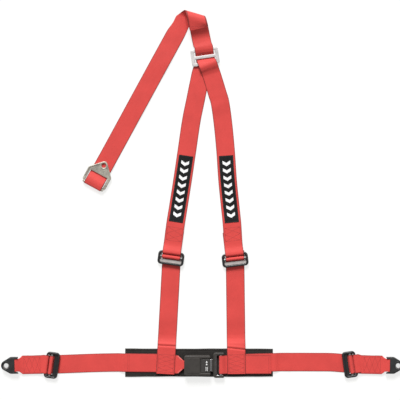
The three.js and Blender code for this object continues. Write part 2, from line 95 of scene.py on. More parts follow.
def finishPiece(piece, material, body, smooth=True, replaced=(), angle=35):
    mesh = piece.data
    mesh.materials.clear()
    mesh.materials.append(material)
    if smooth:
        mesh.polygons.foreach_set("use_smooth", [True] * len(mesh.polygons))
        mesh.set_sharp_from_angle(angle=math.radians(angle))
    mesh.update()
    if body:
        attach(piece, body)
    if replaced:
        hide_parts(*replaced)
    return piece


def gridFaces(rings, sides, closedRings=False):
    # quads of a grid that wraps round its sides, and round its rings too if it is a closed loop
    last = rings if closedRings else rings - 1
    ring, side = np.meshgrid(np.arange(last), np.arange(sides), indexing="ij")
    after = (ring + 1) % rings
    beside = (side + 1) % sides
    near, far = ring * sides, after * sides
    quads = np.stack([near + side, near + beside, far + beside, far + side], -1)
    faces = quads.reshape(-1, 4).tolist()
    if not closedRings:
        faces.append(list(range(sides))[::-1])
        faces.append([(rings - 1) * sides + k for k in range(sides)])
    return faces


def slabFaces(rows, columns):
    # an upper and a lower sheet over the same grid, and the wall between their borders
    index = np.arange(rows * columns).reshape(rows, columns)
    cell = np.stack([index[:-1, :-1], index[1:, :-1], index[1:, 1:], index[:-1, 1:]], -1).reshape(-1, 4)
    loop = np.concatenate([index[0, :], index[1:, -1], index[-1, -2::-1], index[-2:0:-1, 0]])
    after = np.roll(loop, -1)
    size = rows * columns
    wall = np.stack([loop, after, after + size, loop + size], -1)
    return np.concatenate([cell, cell[:, ::-1] + size, wall]).tolist()


def pieceName(key):
    # the words of a CAD name run together, each with a capital
    return "".join(word.capitalize() for word in key.split("_"))


def facesOut(piece):
    # turns the faces outwards after a mesh is put together
    solid = bmesh.new()
    solid.from_mesh(piece.data)
    bmesh.ops.recalc_face_normals(solid, faces=solid.faces)
    solid.to_mesh(piece.data)
    solid.free()


def wire(tree, kind, settings=None, **sockets):
    # one node with its settings and inputs; an input is a number or another node's output
    made = tree.nodes.new("ShaderNode" + kind)
    for key, value in (settings or {}).items():
        setattr(made, key, value)
    for key, value in sockets.items():
        socket = made.inputs[int(key[1:])] if key[0] == "i" and key[1:].isdigit() else made.inputs[key]
        if hasattr(value, "is_output"):
            tree.links.new(value, socket)
        else:
            socket.default_value = value
    return made.outputs


def maths(tree, operation, a, b=0.0):
    return wire(tree, "Math", {"operation": operation}, i0=a, i1=b)[0]


def shade(name, color, roughness, metallic=0.0, **extra):
    material = bpy.data.materials.new(name)
    material.use_nodes = True
    tree = material.node_tree
    shader = tree.nodes["Principled BSDF"]
    shader.inputs["Base Color"].default_value = (*color, 1)
    shader.inputs["Roughness"].default_value = roughness
    shader.inputs["Metallic"].default_value = metallic
    for key, value in extra.items():
        shader.inputs[key.replace("_", " ")].default_value = value
    return material, tree, shader


def rangeOf(tree, value, low, high, outLow, outHigh, smooth=False):
    settings = {"interpolation_type": "SMOOTHSTEP" if smooth else "LINEAR"}
    return wire(tree, "MapRange", settings, i0=value, i1=low, i2=high, i3=outLow, i4=outHigh)[0]


def bump(tree, shader, height, strength, distance):
    made = wire(tree, "Bump", Strength=strength, Distance=distance, Height=height)
    tree.links.new(made["Normal"], shader.inputs["Normal"])


def tint(tree, color, factor):
    # a colour made lighter or darker by a factor
    combined = wire(tree, "CombineColor", None, Red=factor, Green=factor, Blue=factor)[0]
    settings = {"data_type": "RGBA", "blend_type": "MULTIPLY"}
    mixed = wire(tree, "Mix", settings, i0=1.0, i6=(*color, 1), i7=combined)
    return mixed[2]


def strapAxes(tree):
    # distance across and along a strap, in millimetres, from its own map
    uv = wire(tree, "UVMap", {"uv_map": "UVMap"})[0]
    parts = wire(tree, "SeparateXYZ", None, Vector=uv)
    return maths(tree, "MULTIPLY", parts[0], 1000.0), maths(tree, "MULTIPLY", parts[1], 1000.0)


def noiseOn(tree, scale, detail=3.0, roughness=0.55):
    place = wire(tree, "TexCoord")["Object"]
    return wire(tree, "TexNoise", None, Vector=place, Scale=scale, Detail=detail, Roughness=roughness)["Fac"]


webbingLook = {
    "color": (0.66, 0.058, 0.050),
    "rib": 1.3,          # spacing of the lengthwise yarns
    "twill": 2.1,        # length of one twill step
    "turnEvery": 6.2,    # width of one herringbone leg
    "edge": 23.4,        # where the painted edge shade starts, from the middle
    "edgeShade": 0.42,
}


def webbingMaterial(name, look, edgeAt=None):
    # herringbone height: a sine along the strap whose phase zigzags across it,
    # plus a sine for each lengthwise yarn
    material, tree, shader = shade(name, look["color"], 0.62, 0.0, Sheen_Weight=0.18, Sheen_Roughness=0.45)
    shader.inputs["Specular IOR Level"].default_value = 0.35
    across, along = strapAxes(tree)
    zigzag = maths(tree, "PINGPONG", maths(tree, "ADD", across, 100.0), look["turnEvery"])
    phase = maths(tree, "DIVIDE", maths(tree, "ADD", along, zigzag), look["twill"] / (2 * math.pi))
    twill = maths(tree, "SINE", phase)
    rib = maths(tree, "SINE", maths(tree, "DIVIDE", across, look["rib"] / (2 * math.pi)))
    height = maths(tree, "ADD", maths(tree, "MULTIPLY", twill, 0.6), maths(tree, "MULTIPLY", rib, 0.4))
    fromMiddle = maths(tree, "ABSOLUTE", across)
    # painted shade: the colour darkens towards both edges, where the strap's rounded edge turns away from the
    # light
    edge = rangeOf(tree, fromMiddle, (edgeAt or look["edge"]) - 0.9, (edgeAt or look["edge"]) + 0.7, 1.0,
                   look["edgeShade"], True)
    yarn = rangeOf(tree, height, -1.0, 1.0, 0.84, 1.10)
    patch = rangeOf(tree, noiseOn(tree, 22.0), 0.3, 0.7, 0.93, 1.05)
    factor = maths(tree, "MULTIPLY", maths(tree, "MULTIPLY", yarn, patch), edge)
    tree.links.new(tint(tree, look["color"], factor), shader.inputs["Base Color"])
    tree.links.new(rangeOf(tree, height, -1.0, 1.0, 0.72, 0.56), shader.inputs["Roughness"])
    bump(tree, shader, height, 0.35, 0.00025)
    return material


def threadMaterial():
    # diagonal waves give the thread its twist
    color = (0.30, 0.018, 0.018)
    material, tree, shader = shade("thread", color, 0.6)
    place = wire(tree, "TexCoord")["Object"]
    twist = wire(tree, "TexWave", {"bands_direction": "DIAGONAL"}, Vector=place, Scale=600.0)["Fac"]
    factor = rangeOf(tree, twist, 0, 1, 0.7, 1.1)
    tree.links.new(tint(tree, color, factor), shader.inputs["Base Color"])
    bump(tree, shader, twist, 0.3, 0.0002)
    return material


labelLook = {"pitch": 20.0, "bar": 8.6, "slant": 0.6, "halfBand": 10.5, "length": 184.0}


def labelMaterial(look):
    # white chevrons down the middle of a black label: bands of (length + slant x distance from the middle)
    material, tree, shader = shade("label_fabric", (0.006, 0.006, 0.0065), 0.6)
    shader.inputs["Specular IOR Level"].default_value = 0.2
    across, along = strapAxes(tree)
    fromMiddle = maths(tree, "ABSOLUTE", across)
    slanted = maths(tree, "ADD", along, maths(tree, "MULTIPLY", fromMiddle, look["slant"]))
    step = maths(tree, "MODULO", slanted, look["pitch"])
    bars = rangeOf(tree, step, look["bar"] - 0.3, look["bar"] + 0.3, 1.0, 0.0)
    inside = rangeOf(tree, fromMiddle, look["halfBand"] - 0.3, look["halfBand"] + 0.3, 1.0, 0.0)
    fromEnd = maths(tree, "MINIMUM", along, maths(tree, "SUBTRACT", look["length"], along))
    clear = rangeOf(tree, fromEnd, 11.0, 11.6, 0.0, 1.0)
    chevrons = maths(tree, "MULTIPLY", maths(tree, "MULTIPLY", bars, inside), clear)
    yarn = maths(tree, "SINE", maths(tree, "DIVIDE", along, 0.7 / (2 * math.pi)))
    white = rangeOf(tree, yarn, -1, 1, 0.78, 0.95)
    settings = {"data_type": "RGBA"}
    light = wire(tree, "CombineColor", None, Red=white, Green=white, Blue=white)[0]
    mixed = wire(tree, "Mix", settings, i0=chevrons, i6=(0.006, 0.006, 0.0065, 1), i7=light)[2]
    tree.links.new(mixed, shader.inputs["Base Color"])
    raised = maths(tree, "ADD", maths(tree, "MULTIPLY", chevrons, 1.5), maths(tree, "MULTIPLY", yarn, 0.3))
    bump(tree, shader, raised, 0.5, 0.0003)
    return material


def metalMaterial(name, color, roughness, metallic, grain=900.0, tone=0.12, coat=0.0):
    # fine noise breaks up the colour and the gloss, and a coarser one gives handling marks
    material, tree, shader = shade(name, color, roughness, metallic, Coat_Weight=coat, Coat_Roughness=0.15)
    fine = noiseOn(tree, grain, 2.0)
    marks = noiseOn(tree, 60.0, 5.0, 0.65)
    factor = maths(tree, "MULTIPLY", rangeOf(tree, fine, 0.3, 0.7, 1 - tone / 2, 1 + tone / 2),
                   rangeOf(tree, marks, 0.3, 0.7, 1 - tone, 1 + tone))
    tree.links.new(tint(tree, color, factor), shader.inputs["Base Color"])
    gloss = rangeOf(tree, marks, 0.3, 0.75, roughness * 0.75, roughness * 1.35)
    tree.links.new(gloss, shader.inputs["Roughness"])
    bump(tree, shader, fine, 0.12, 0.0002)
    return material


def padMaterial():
    # plain weave: the product of two sines, one along each way of the cloth
    color = (0.021, 0.0185, 0.0165)
    material, tree, shader = shade("pad_fabric", color, 0.85)
    shader.inputs["Specular IOR Level"].default_value = 0.3
    parts = wire(tree, "SeparateXYZ", None, Vector=wire(tree, "TexCoord")["Object"])
    warp = maths(tree, "SINE", maths(tree, "MULTIPLY", parts[0], 2 * math.pi / 0.0011))
    weft = maths(tree, "SINE", maths(tree, "MULTIPLY", parts[1], 2 * math.pi / 0.0011))
    height = maths(tree, "MULTIPLY", warp, weft)
    factor = maths(tree, "MULTIPLY", rangeOf(tree, height, -1, 1, 0.7, 1.3),
                   rangeOf(tree, noiseOn(tree, 30.0), 0.3, 0.7, 0.85, 1.15))
    tree.links.new(tint(tree, color, factor), shader.inputs["Base Color"])
    bump(tree, shader, height, 0.5, 0.0003)
    return material


webbing = webbingMaterial("webbing", webbingLook)
# a paler red copy of the webbing: painted highlight for the raised folds along the belt's taper
foldHighlightWebbing = webbingMaterial("webbing_fold_painted_highlight", {**webbingLook, "color": (0.74, 0.15, 0.135)}, 9.0)
thread = threadMaterial()
labelCloth = labelMaterial(labelLook)
padCloth = padMaterial()
zinc = metalMaterial("zinc_plate", (0.62, 0.60, 0.59), 0.5, 0.35, 900.0, 0.08)
rearZinc = metalMaterial("zinc_passivated", (0.43, 0.40, 0.34), 0.45, 0.5, 500.0, 0.25)
anchorZinc = metalMaterial("zinc_anchor", (0.27, 0.25, 0.245), 0.4, 0.5, 700.0, 0.2)
# grey standing in for the light that glossy black steel reflects: a painted reflection for the shoulder
# adjusters' grip plates and flanks
reflectionGreySteel = metalMaterial("black_steel_painted_reflection", (0.50, 0.46, 0.44), 0.45, 0.2, 900.0, 0.12)
barSteel = metalMaterial("bar_steel", (0.22, 0.215, 0.21), 0.4, 0.4, 900.0, 0.15)
steel = metalMaterial("bright_steel", (0.60, 0.60, 0.61), 0.25, 1.0)
springWire = metalMaterial("spring_steel", (0.35, 0.36, 0.37), 0.3, 1.0)
blackCoat = metalMaterial("black_steel", (0.012, 0.0115, 0.012), 0.4, 0.0, 1500.0, 0.2, 0.1)
plastic = metalMaterial("black_plastic", (0.034, 0.029, 0.025), 0.55, 0.0, 1600.0, 0.15)
buttonPlastic = metalMaterial("button_plastic", (0.040, 0.037, 0.034), 0.36, 0.0, 1800.0, 0.12)
rubber = metalMaterial("boot_rubber", (0.016, 0.016, 0.016), 0.55, 0.0, 1400.0, 0.2)
markWhite = metalMaterial("white_print", (0.75, 0.75, 0.73), 0.5, 0.0, 1200.0, 0.08)
print("materials made")


def run(x, y, heading, places):
    # stations along a heading: each place is distance, height and, if it isn't full width, the width
    c, s = math.cos(math.radians(heading)), math.sin(math.radians(heading))
    rows = [(*place, harness["webWidth"])[:3] for place in places]
    return [[x + u * c, y + u * s, z, heading, width] for u, z, width in rows]


def trail(points):
    # stations through points on the floor plan; the heading at each is that of its neighbours
    plan = np.array([point[:2] for point in points], float)
    ahead = np.vstack([plan[1:], plan[-1:]]) - np.vstack([plan[:1], plan[:-1]])
    heading = np.degrees(np.arctan2(ahead[:, 1], ahead[:, 0]))
    return [[*point[:3], angle, harness["webWidth"]] for point, angle in zip(points, heading)]


def turn(u, z, radius, start, end, steps=12, width=50.0):
    # places round a bar: centre plus radius times cosine and sine
    angle = np.radians(np.linspace(start, end, steps + 1))
    return [(u + radius * math.cos(a), z + radius * math.sin(a), width) for a in angle]


def smoothPath(stations, spacing):
    # cubic between stations; each slope is the harmonic mean of its two neighbours, so nothing overshoots
    table = np.array(stations, float)
    table[:, 3] = np.degrees(np.unwrap(np.radians(table[:, 3])))
    step = np.linalg.norm(np.diff(table[:, :3], axis=0), axis=1)
    at = np.concatenate([[0], np.cumsum(step)])
    slope = np.diff(table, axis=0) / step[:, None]
    before, after = slope[:-1], slope[1:]
    same = before * after > 1e-12
    total = np.where(same, before + after, 1.0)
    middle = np.where(same, 2 * before * after / total, 0.0)
    tangent = np.vstack([slope[:1], middle, slope[-1:]])
    counts = np.concatenate([[0], np.cumsum(np.maximum(np.ceil(step / spacing), 1))])
    t = np.interp(np.arange(counts[-1] + 1), counts, at)
    k = np.clip(np.searchsorted(at, t, side="right") - 1, 0, len(step) - 1)
    w = step[k][:, None]
    p = ((t - at[k]) / step[k])[:, None]
    return ((1 + 2 * p) * (1 - p) ** 2 * table[k] + p * (1 - p) ** 2 * w * tangent[k]
            + p ** 2 * (3 - 2 * p) * table[k + 1] + p ** 2 * (p - 1) * w * tangent[k + 1])


def stripFrame(path):
    # middle line, across and normal of a strap at each step, and the distance along it
    point = path[:, :3]
    along = np.gradient(point, axis=0)
    along /= np.linalg.norm(along, axis=1)[:, None]
    angle = np.radians(path[:, 3])
    across = np.stack([-np.sin(angle), np.cos(angle), np.zeros_like(angle)], 1)
    normal = np.cross(along, across)
    normal /= np.linalg.norm(normal, axis=1)[:, None]
    far = np.concatenate([[0], np.cumsum(np.linalg.norm(np.diff(point, axis=0), axis=1))])
    return {"point": point, "across": across, "normal": normal, "width": path[:, 4], "far": far}


def onStrip(strip, across, along, lift):
    # a place on a strap's upper side, from its distance across and along
    def at(key):
        table = strip[key]
        return np.stack([np.interp(along, strip["far"], table[:, i]) for i in range(3)], -1)

    normal = at("normal")
    normal = normal * np.where(normal[..., 2:3] < 0, -1, 1)
    up = np.interp(along, strip["far"], strip["rise"])[..., None] * np.array([0, 0, 1.0])
    return at("point") + at("across") * np.asarray(across)[..., None] + normal * lift + up


def stripMesh(name, stations, material, body, thick=None, crown=0.35, waves=(), spacing=2.5, replaced=(),
              warp=None):
    # section: two flat faces and two half-round edges; crown lifts the middle by a parabola;
    # each wave lifts the strap by a bell curve along it, which may run aslant
    thick = thick or harness["webThick"]
    strip = stripFrame(smoothPath(stations, spacing))
    half = strip["width"][:, None] / 2
    flat = np.linspace(-1, 1, 15)
    bend = np.radians([60, 30, 0, -30, -60])
    e = thick / 2
    part = np.concatenate([flat, np.ones(5), flat[::-1], -np.ones(5)])
    reach = np.concatenate([np.zeros(15), np.cos(bend), np.zeros(15), np.cos(bend)]) * e
    depth = np.concatenate([np.ones(15), np.sin(bend), -np.ones(15), -np.sin(bend)]) * e
    c = part[None] * (half - e) + np.sign(part)[None] * reach[None]
    points = (strip["point"][:, None] + strip["across"][:, None] * c[..., None]
              + strip["normal"][:, None] * depth[None, :, None])
    lifted = crown * (1 - (c / half) ** 2) * np.abs(strip["normal"][:, 2:3])
    for place, length, height, skew in waves:
        lifted = lifted + height * np.exp(-(((strip["far"][:, None] - place) - skew * c) / length) ** 2)
    points[..., 2] += lifted
    if warp:
        points = warp(points, c, strip["far"][:, None])
    uv = np.stack([c * mm, np.broadcast_to(strip["far"][:, None] * mm, c.shape)], -1)
    piece = makeMesh(name, points.reshape(-1, 3), gridFaces(*c.shape), material, body, uv.reshape(-1, 2),
                     True, replaced)
    facesOut(piece)
    middle = 0.0
    for place, length, height, _ in waves:
        middle = middle + height * np.exp(-((strip["far"] - place) / length) ** 2)
    strip["rise"] = (middle + crown) * np.abs(strip["normal"][:, 2])
    strip["piece"] = piece
    strip["length"] = float(strip["far"][-1]) * mm
    strip["thick"] = thick
    return strip


stitch = {"pitch": 3.4, "length": 2.9, "width": 1.0, "height": 0.42}


def stitchMesh(name, strip, lines, body, lift=None):
    # each stitch is a small ellipsoid stretched between two places on the strap
    lift = strip["thick"] / 2 - 0.05 if lift is None else lift
    starts, ends = [], []
    for line in lines:
        corner = np.array(line, float)
        step = np.linalg.norm(np.diff(corner, axis=0), axis=1)
        at = np.concatenate([[0], np.cumsum(step)])
        count = max(int(at[-1] / stitch["pitch"]), 1)
        middle = (np.arange(count) + 0.5) * at[-1] / count
        for store, shift in ((starts, -stitch["length"] / 2), (ends, stitch["length"] / 2)):
            place = np.clip(middle + shift, 0, at[-1])
            store.append(np.stack([np.interp(place, at, corner[:, i]) for i in range(2)], -1))
    a = np.concatenate(starts)
    b = np.concatenate(ends)
    first = onStrip(strip, a[:, 0], a[:, 1], lift)
    last = onStrip(strip, b[:, 0], b[:, 1], lift)
    along = last - first
    size = np.linalg.norm(along, axis=1)[:, None]
    along = along / size
    side = np.cross([0, 0, 1.0], along)
    side /= np.linalg.norm(side, axis=1)[:, None]
    rise = np.cross(along, side)
    lat = np.radians([-90, -45, 0, 45, 90])
    lon = np.radians(np.arange(0, 360, 60))
    x = np.sin(lat)[:, None] * np.ones(6)
    y = np.cos(lat)[:, None] * np.cos(lon)
    z = np.cos(lat)[:, None] * np.sin(lon)
    x, y, z = (v[1:4].ravel() for v in (x, y, z))
    x, y, z = np.append(x, [-1, 1]), np.append(y, [0, 0]), np.append(z, [0, 0])
    points = ((first + last)[:, None] / 2 + along[:, None] * (x[None, :, None] * size[:, None] / 2)
              + side[:, None] * (y[None, :, None] * stitch["width"] / 2)
              + rise[:, None] * (z[None, :, None] * stitch["height"] / 2))
    ring = [(k, (k + 1) % 6) for k in range(6)]
    faces = [[r + k, r + after, r + 6 + after, r + 6 + k] for r in (0, 6) for k, after in ring]
    faces += [[18, after, k] for k, after in ring] + [[19, 12 + k, 12 + after] for k, after in ring]
    every = [[i + 20 * n for i in face] for n in range(len(first)) for face in faces]
    piece = makeMesh(name, points.reshape(-1, 3), every, thread, body, None, True, ())
    facesOut(piece)
    return piece


def boxStitch(across, start, end, rows=3):
    # a sewn box: its outline, and a zigzag of rows inside it
    outline = [(-across, start), (across, start), (across, end), (-across, end), (-across, start)]
    levels = np.linspace(start, end, rows + 1)
    zigzag = [(across if k % 2 else -across, level) for k, level in enumerate(levels)]
    back = [(-side, level) for side, level in zigzag]
    return [outline, zigzag, back]


def declareSheet(strip):
    print(strip["piece"].name, "is", round(strip["length"] * 1000), "mm long")


lapBelts = {"upper": onPad + harness["layer"], "buckleEnd": -35, "barZ": 13.0, "barLoop": 3.55}


def leftLapBelt(values):
    upper = values["upper"]
    floorLevel = harness["floorLevel"]
    stations = trail([
        (-428, -459.5, floorLevel), (-409, -458.3, floorLevel), (-373, -456.6, floorLevel),
        (-247, -452.5, floorLevel), (-228, -452.3, floorLevel),
        (-211, -452.3, onPad), (-160, -452.8, onPad), (-100, -453.5, onPad),
    ])
    stations += run(values["buckleEnd"], harness["buckleY"] + 1.5, 0, [
        (-40, onPad), (-32.5, onPad + 0.1), (-27, onPad + 0.4, 40.7), (-21, 6.3, 30.6), (-15.5, 7.6, 21.4),
        (-11, 8.4, 21), (-4, 9.45, 21),
        *turn(0, values["barZ"], values["barLoop"], -90, 90, 12, 21),
        (-5, 16, 21), (-11, 14, 21), (-15.5, 12.3, 21.4), (-21, 10.2, 30.6), (-27, upper + 1.5, 40.7),
        (-32.5, upper + 0.4), (-40, upper),
    ])
    stations += run(-126, -453.5, 0, [(6, upper), (0, upper)])
    waves = [(79, 30, 0.15, 0.2), (185, 11, 0.6, -0.2)]
    strip = stripMesh("leftLapBelt", stations, webbing, "buckle_side", None, 0.12, waves, 2.0,
                      ["left_lap_belt"])
    near = 428 - 200
    lines = [[(-22, near), (22, near)], [(-22, near + 4), (22, near + 4)]]
    sewing = stitchMesh("leftBeltPadSewing", strip, lines, "buckle_side")
    folds = [taperFold("leftBeltFold" + str(number + 1), strip, side) for number, side in enumerate((-1, 1))]
    declareSheet(strip)


def taperFold(name, strip, side):
    # the folded edge along the belt's taper, a narrow strip just inside the edge, in a paler red as a painted
    # highlight where the raised fold catches the light
    after = np.arange(len(strip["far"])) > np.argmax(strip["point"][:, 0])
    tapered = strip["far"][after & (strip["width"] > 25) & (strip["width"] < 49.5)]
    far = np.linspace(tapered.min(), tapered.max(), 14)
    half = np.interp(far, strip["far"], strip["width"]) / 2
    middle = onStrip(strip, side * (half - 1.2), far, 0.75)
    rough = np.gradient(middle, axis=0)
    heading = np.degrees(np.arctan2(rough[:, 1], rough[:, 0]))
    stations = np.column_stack([middle, heading, np.full_like(far, 3.4)]).tolist()
    return stripMesh(name, stations, foldHighlightWebbing, "buckle_side", 1.1, 0, (), 1.5)["piece"]


def rightLapBelt(values):
    upper = values["upper"]
    floorLevel = harness["floorLevel"]
    stations = [[x, y, upper, 180, 50.0] for x, y in [(186, -457.6), (150, -457.6), (100, -457.4)]]
    stations += run(50, harness["buckleY"] + 1, 180, [
        (-16, upper), (-12.5, upper + 1), (-6.5, 11.6), (-2, 13.7),
        *turn(0, 9.95, 4.05, 90, -90, 12), (-6, 5.6), (-14, onPad), (-40, onPad),
    ])
    stations += [[x, y, z, 180 - lean, 50.0] for x, y, z, lean in [
        (120, -453.5, onPad, 0), (194, -451.5, onPad, 0),
        (211, -451.3, floorLevel, 0), (232, -451.2, floorLevel, 0),
        (336, -451.5, floorLevel, 0.5), (402, -456, floorLevel, 4), (420, -457.5, floorLevel, 5)]]
    waves = [(340, 9, 0.6, -0.2), (408, 22, 0.15, 0.2)]
    strip = stripMesh("rightLapBelt", stations, webbing, "tongue_side", None, 0.12, waves, 2.0,
                      ["right_lap_belt"])
    lines = [[(-22.5, 3), (22.5, 3)], [(-22.5, 7), (22.5, 7)], [(-22, 118), (22, 118)]]
    sewing = stitchMesh("rightBeltPadSewing", strip, lines, "tongue_side")
    declareSheet(strip)


lowerStraps = {"foot": -482.0, "left": (-99.5, 86.9, 336, 75, 0.0), "right": (92.5, 90.7, 332, 67, 0.12)}


def lowerStrap(side, values):
    # sewn flat over the lap belt, then down over the pad's edge and flat to the adjuster
    x, heading, length, crease, skew = values[side]
    sewn = onPad + 2 * harness["layer"]
    floorLevel = harness["floorLevel"]
    stations = run(x, values["foot"], heading, [
        (0, sewn), (30, sewn), (58, sewn), (70, sewn + 0.1), (80, sewn - 1.4), (88, 4.2), (96, 1.8),
        (106, floorLevel), (160, floorLevel), (230, floorLevel), (length, floorLevel)])
    waves = [(crease, 2.2, -1.5, skew), (crease + 5.5, 3, 0.9, skew),
             (148, 25, 1.3, 0.3), (235, 34, 0.15, -0.3)]
    body = "buckle_side" if side == "left" else None
    nodes = ["left_lower_strap"] if side == "left" else ["right_lower_strap", "right_lower_strap_top"]
    strip = stripMesh(side + "LowerStrap", stations, webbing, body, None, 0.2, waves, 1.4, nodes)
    lines = boxStitch(20, 4, 52, 4) + [[(-22.5, 2), (-22.5, 56)], [(22.5, 2), (22.5, 56)]]
    sewing = stitchMesh(side + "LowerSewing", strip, lines, body or "tongue_side")
    if side == "right":
        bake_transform(strip["piece"])
    declareSheet(strip)


leftLapBelt(lapBelts)
rightLapBelt(lapBelts)
for side in ("left", "right"):
    lowerStrap(side, lowerStraps)
print("lap belts and lower straps made")


adjusters = {
    "left_lap": (-405.4, -459.0, -8.0), "right_lap": (398.6, -457.0, 188.0),
    "left_shoulder": (-84.2, -170.4, -98.0), "right_shoulder": (88.6, -174.4, -83.4),
}
adjuster = {"fixedBar": -15.0, "floatingBar": -2.5}


def fixedBarLoop(key, under):
    # a strap end round the adjuster's fixed bar, lying back under itself
    x, y, heading = adjusters[key]
    u = adjuster["fixedBar"]
    return run(x, y, heading, [
        (u - under, 2.55), (u - under / 2, 2.55), (u - 6, 2.55),
        *turn(u, harness["barZ"], harness["barLoop"], -90, 90, 12),
        (u - 5, 10.0), (u - 12, 7.4), (u - 20, 5.1), (u - 27, 4.45),
    ])


ends = {"barX": 504.0, "barY": -458.9, "barZ": 8.15, "narrow": 33.8}


def endStrap(side, values):
    # from the lap adjuster to the anchor plate's bar; it narrows where the real strap's corners are folded,
    # drawn by its width alone
    sign = -1 if side == "left" else 1
    toBuckle = 1.2 if side == "left" else 178.8
    narrow = values["narrow"]
    x, y, heading = adjusters[side + "_lap"]
    gap = abs(sign * values["barX"] - x) - 15

    def fromAnchor(places):
        return run(sign * values["barX"], values["barY"], toBuckle, places)

    atBar = run(x, y, heading, [
        *turn(adjuster["fixedBar"], harness["barZ"], harness["barLoop"], -90, 90, 12),
        (adjuster["fixedBar"] - 4.5, 9.9), (adjuster["fixedBar"] - 9, 8.2)])
    stations = fromAnchor([(gap - 30, 2.55), (gap - 20, 2.55), (gap - 9, 2.55)]) + atBar + fromAnchor([
        (gap - 17, 5.4), (gap - 23, 4.5), (40, 4.45), (26, 4.7), (21, 5.2), (16, 6.5, 43), (11, 8.3, 35),
        (6.5, 10.4, 33.8), (2.5, 11.85, 33.8),
        *turn(0, values["barZ"], harness["barLoop"], 90, 270, 12, narrow),
        (8, 3.4, narrow), (14, 2.75, 40), (20, 2.55), (38, 2.55)])
    strip = stripMesh(side + "EndStrap", stations, webbing, side + "_end", None, 0.1, (), 1.6,
                      [side + "_end_strap"])
    far = strip["far"]
    top = (strip["point"][:, 2] > 4.0) & (np.abs(np.abs(strip["point"][:, 0]) - 459) < 24)
    start, end = far[top].min() + 1, far[top].max() - 1
    sewing = stitchMesh(side + "EndSewing", strip, boxStitch(20.5, start, end, 3), side + "_end")
    declareSheet(strip)


def webRoll(key):
    # the short turn of webbing on an adjuster's floating bar
    x, y, heading = adjusters[key]
    u, z = adjuster["floatingBar"], harness["barZ"]
    stations = run(x, y, heading, [*turn(u, z, harness["barLoop"], 262, -8, 16),
                                   (u + 3.9, 3.9), (u + 3.4, 2.9)])
    strip = stripMesh("webRoll" + pieceName(key), stations, webbing, key + "_bar", None, 0, (), 1.0,
                      [key + "_web_roll"])


for side in ("left", "right"):
    endStrap(side, ends)
for key in adjusters:
    webRoll(key)
print("end straps and web rolls made")


slide = {"x": 7.6, "y": 372.3, "turn": 8.0, "width": 75.0, "height": 45.0, "z0": 3.6, "z1": 7.1, "bar": 7.6,
         "middle": 8.4}
shoulders = {
    "pairLevel": 9.05, "lowPair": 1.65,
    "left": [(1, 340, 0.75), (-9, 300, 0.75), (-18, 256, 0.75), (-29, 202, 0.75), (-41, 121, 0.75),
             (-53, 40, 0.75), (-64, -30, 0.75), (-72, -80, 4.0)],
    "right": [(13.6, 356.5, 10.6), (16.0, 350, 12.2), (18.8, 343, 10.4), (22.0, 334, 5.4), (25.5, 324, 2.9),
              (35.5, 292, 2.6), (41.5, 272, 2.3), (47.5, 252, 0.9), (55, 202, 0.75), (63, 121, 0.75),
              (68.5, 40, 0.75), (75.5, -30, 0.75), (80.5, -80, 4.0)],
}


def slideEntry(values):
    # both straps lie together from the rear seam, over the slide's top bar and under its middle bar
    level, low = values["pairLevel"], values["lowPair"]
    seam = run(slide["x"] - 17.9, slide["y"] + 84, -78.0, [
        (0, 20.3), (8, 16.4), (18, 11.2), (27, 8.0), (36, 7.0), (45, 7.6), (52, 9.0)])
    mouth = run(slide["x"], slide["y"], slide["turn"] - 90, [
        (-26, level + 1.7), (-20.5, level + 1.5), (-15.2, level), (-12.5, level - 1), (-9.3, 5.2),
        (-6, low + 0.6), (-3, low), (2, low)])
    return seam + mouth


def moved(stations, distance):
    # the same stations moved along the strap's own normal
    table = np.array(stations, float)
    frameOf = stripFrame(table)
    normal = frameOf["normal"] * np.where(frameOf["normal"][:, 2:3] < 0, -1, 1)
    table[:, :3] += normal * distance
    return table.tolist()


def shoulderStrap(side, values):
    pair = slideEntry(values)
    half = harness["layer"] / 2
    below = values[side]
    down = slide["turn"] - 90
    if side == "left":
        start = moved(pair, -half) + run(slide["x"], slide["y"], down, [(14, 0.75), (22, 0.75)])
        waves = [(420, 40, 1.2, 0.2)]
    else:
        start = moved(pair, half) + run(slide["x"] + 0.8, slide["y"], down, [(4, 2.75), (6.4, 3.4)])
        start += run(slide["x"] + 2.0, slide["y"], down, [(9.5, 5.4), (12.8, 7.9)])
        waves = [(230, 22, 1.6, -0.3), (420, 40, 1.2, -0.2)]
    stations = start + trail(below) + fixedBarLoop(side + "_shoulder", 60)[::-1]
    strip = stripMesh(side + "ShoulderStrap", stations, webbing, "shoulder_side", None, 0.3, waves, 2.5,
                      [side + "_shoulder_strap"])
    far, point = strip["far"], strip["point"]
    shown = (point[:, 2] > 3.9) | (point[:, 1] > -80)
    start, end = (float(np.interp(-y, -point[shown][:, 1], far[shown])) for y in (-88, -124))
    box = boxStitch(20.5, start, end, 2)
    sewing = stitchMesh(side + "ShoulderSewing", strip, box, "shoulder_side")
    strip["labelFrom"] = float(np.interp(-106, -point[:-60, 1], far[:-60]))
    declareSheet(strip)
    return strip


labels = {"length": 181.5, "width": 38.5, "thick": 0.7, "lift": 1.1}


def labelPatch(side, strap, values):
    # a woven label sewn on top of the strap
    far = strap["labelFrom"] + np.linspace(0, values["length"], 40)
    middle = onStrip(strap, np.zeros_like(far), far, values["lift"])
    rough = np.gradient(middle, axis=0)
    heading = np.degrees(np.arctan2(rough[:, 1], rough[:, 0]))
    stations = np.column_stack([middle, heading, np.full_like(far, values["width"])]).tolist()
    name = side + "Label"
    strip = stripMesh(name, stations, labelCloth, "shoulder_side", values["thick"], 0.1, (), 2.5,
                      [side + "_label"])
    edge, length = values["width"] / 2 - 1.6, strip["length"] / mm
    outline = [[(-edge, 1.8), (edge, 1.8), (edge, length - 1.8), (-edge, length - 1.8), (-edge, 1.8)]]
    sewing = stitchMesh(name + "Sewing", strip, outline, "shoulder_side")
    sewing.data.materials[0] = labelThread


labelThread = metalMaterial("label_thread", (0.03, 0.03, 0.032), 0.6, 0.0)
for side in ("left", "right"):
    labelPatch(side, shoulderStrap(side, shoulders), labels)
print("shoulder straps and labels made")


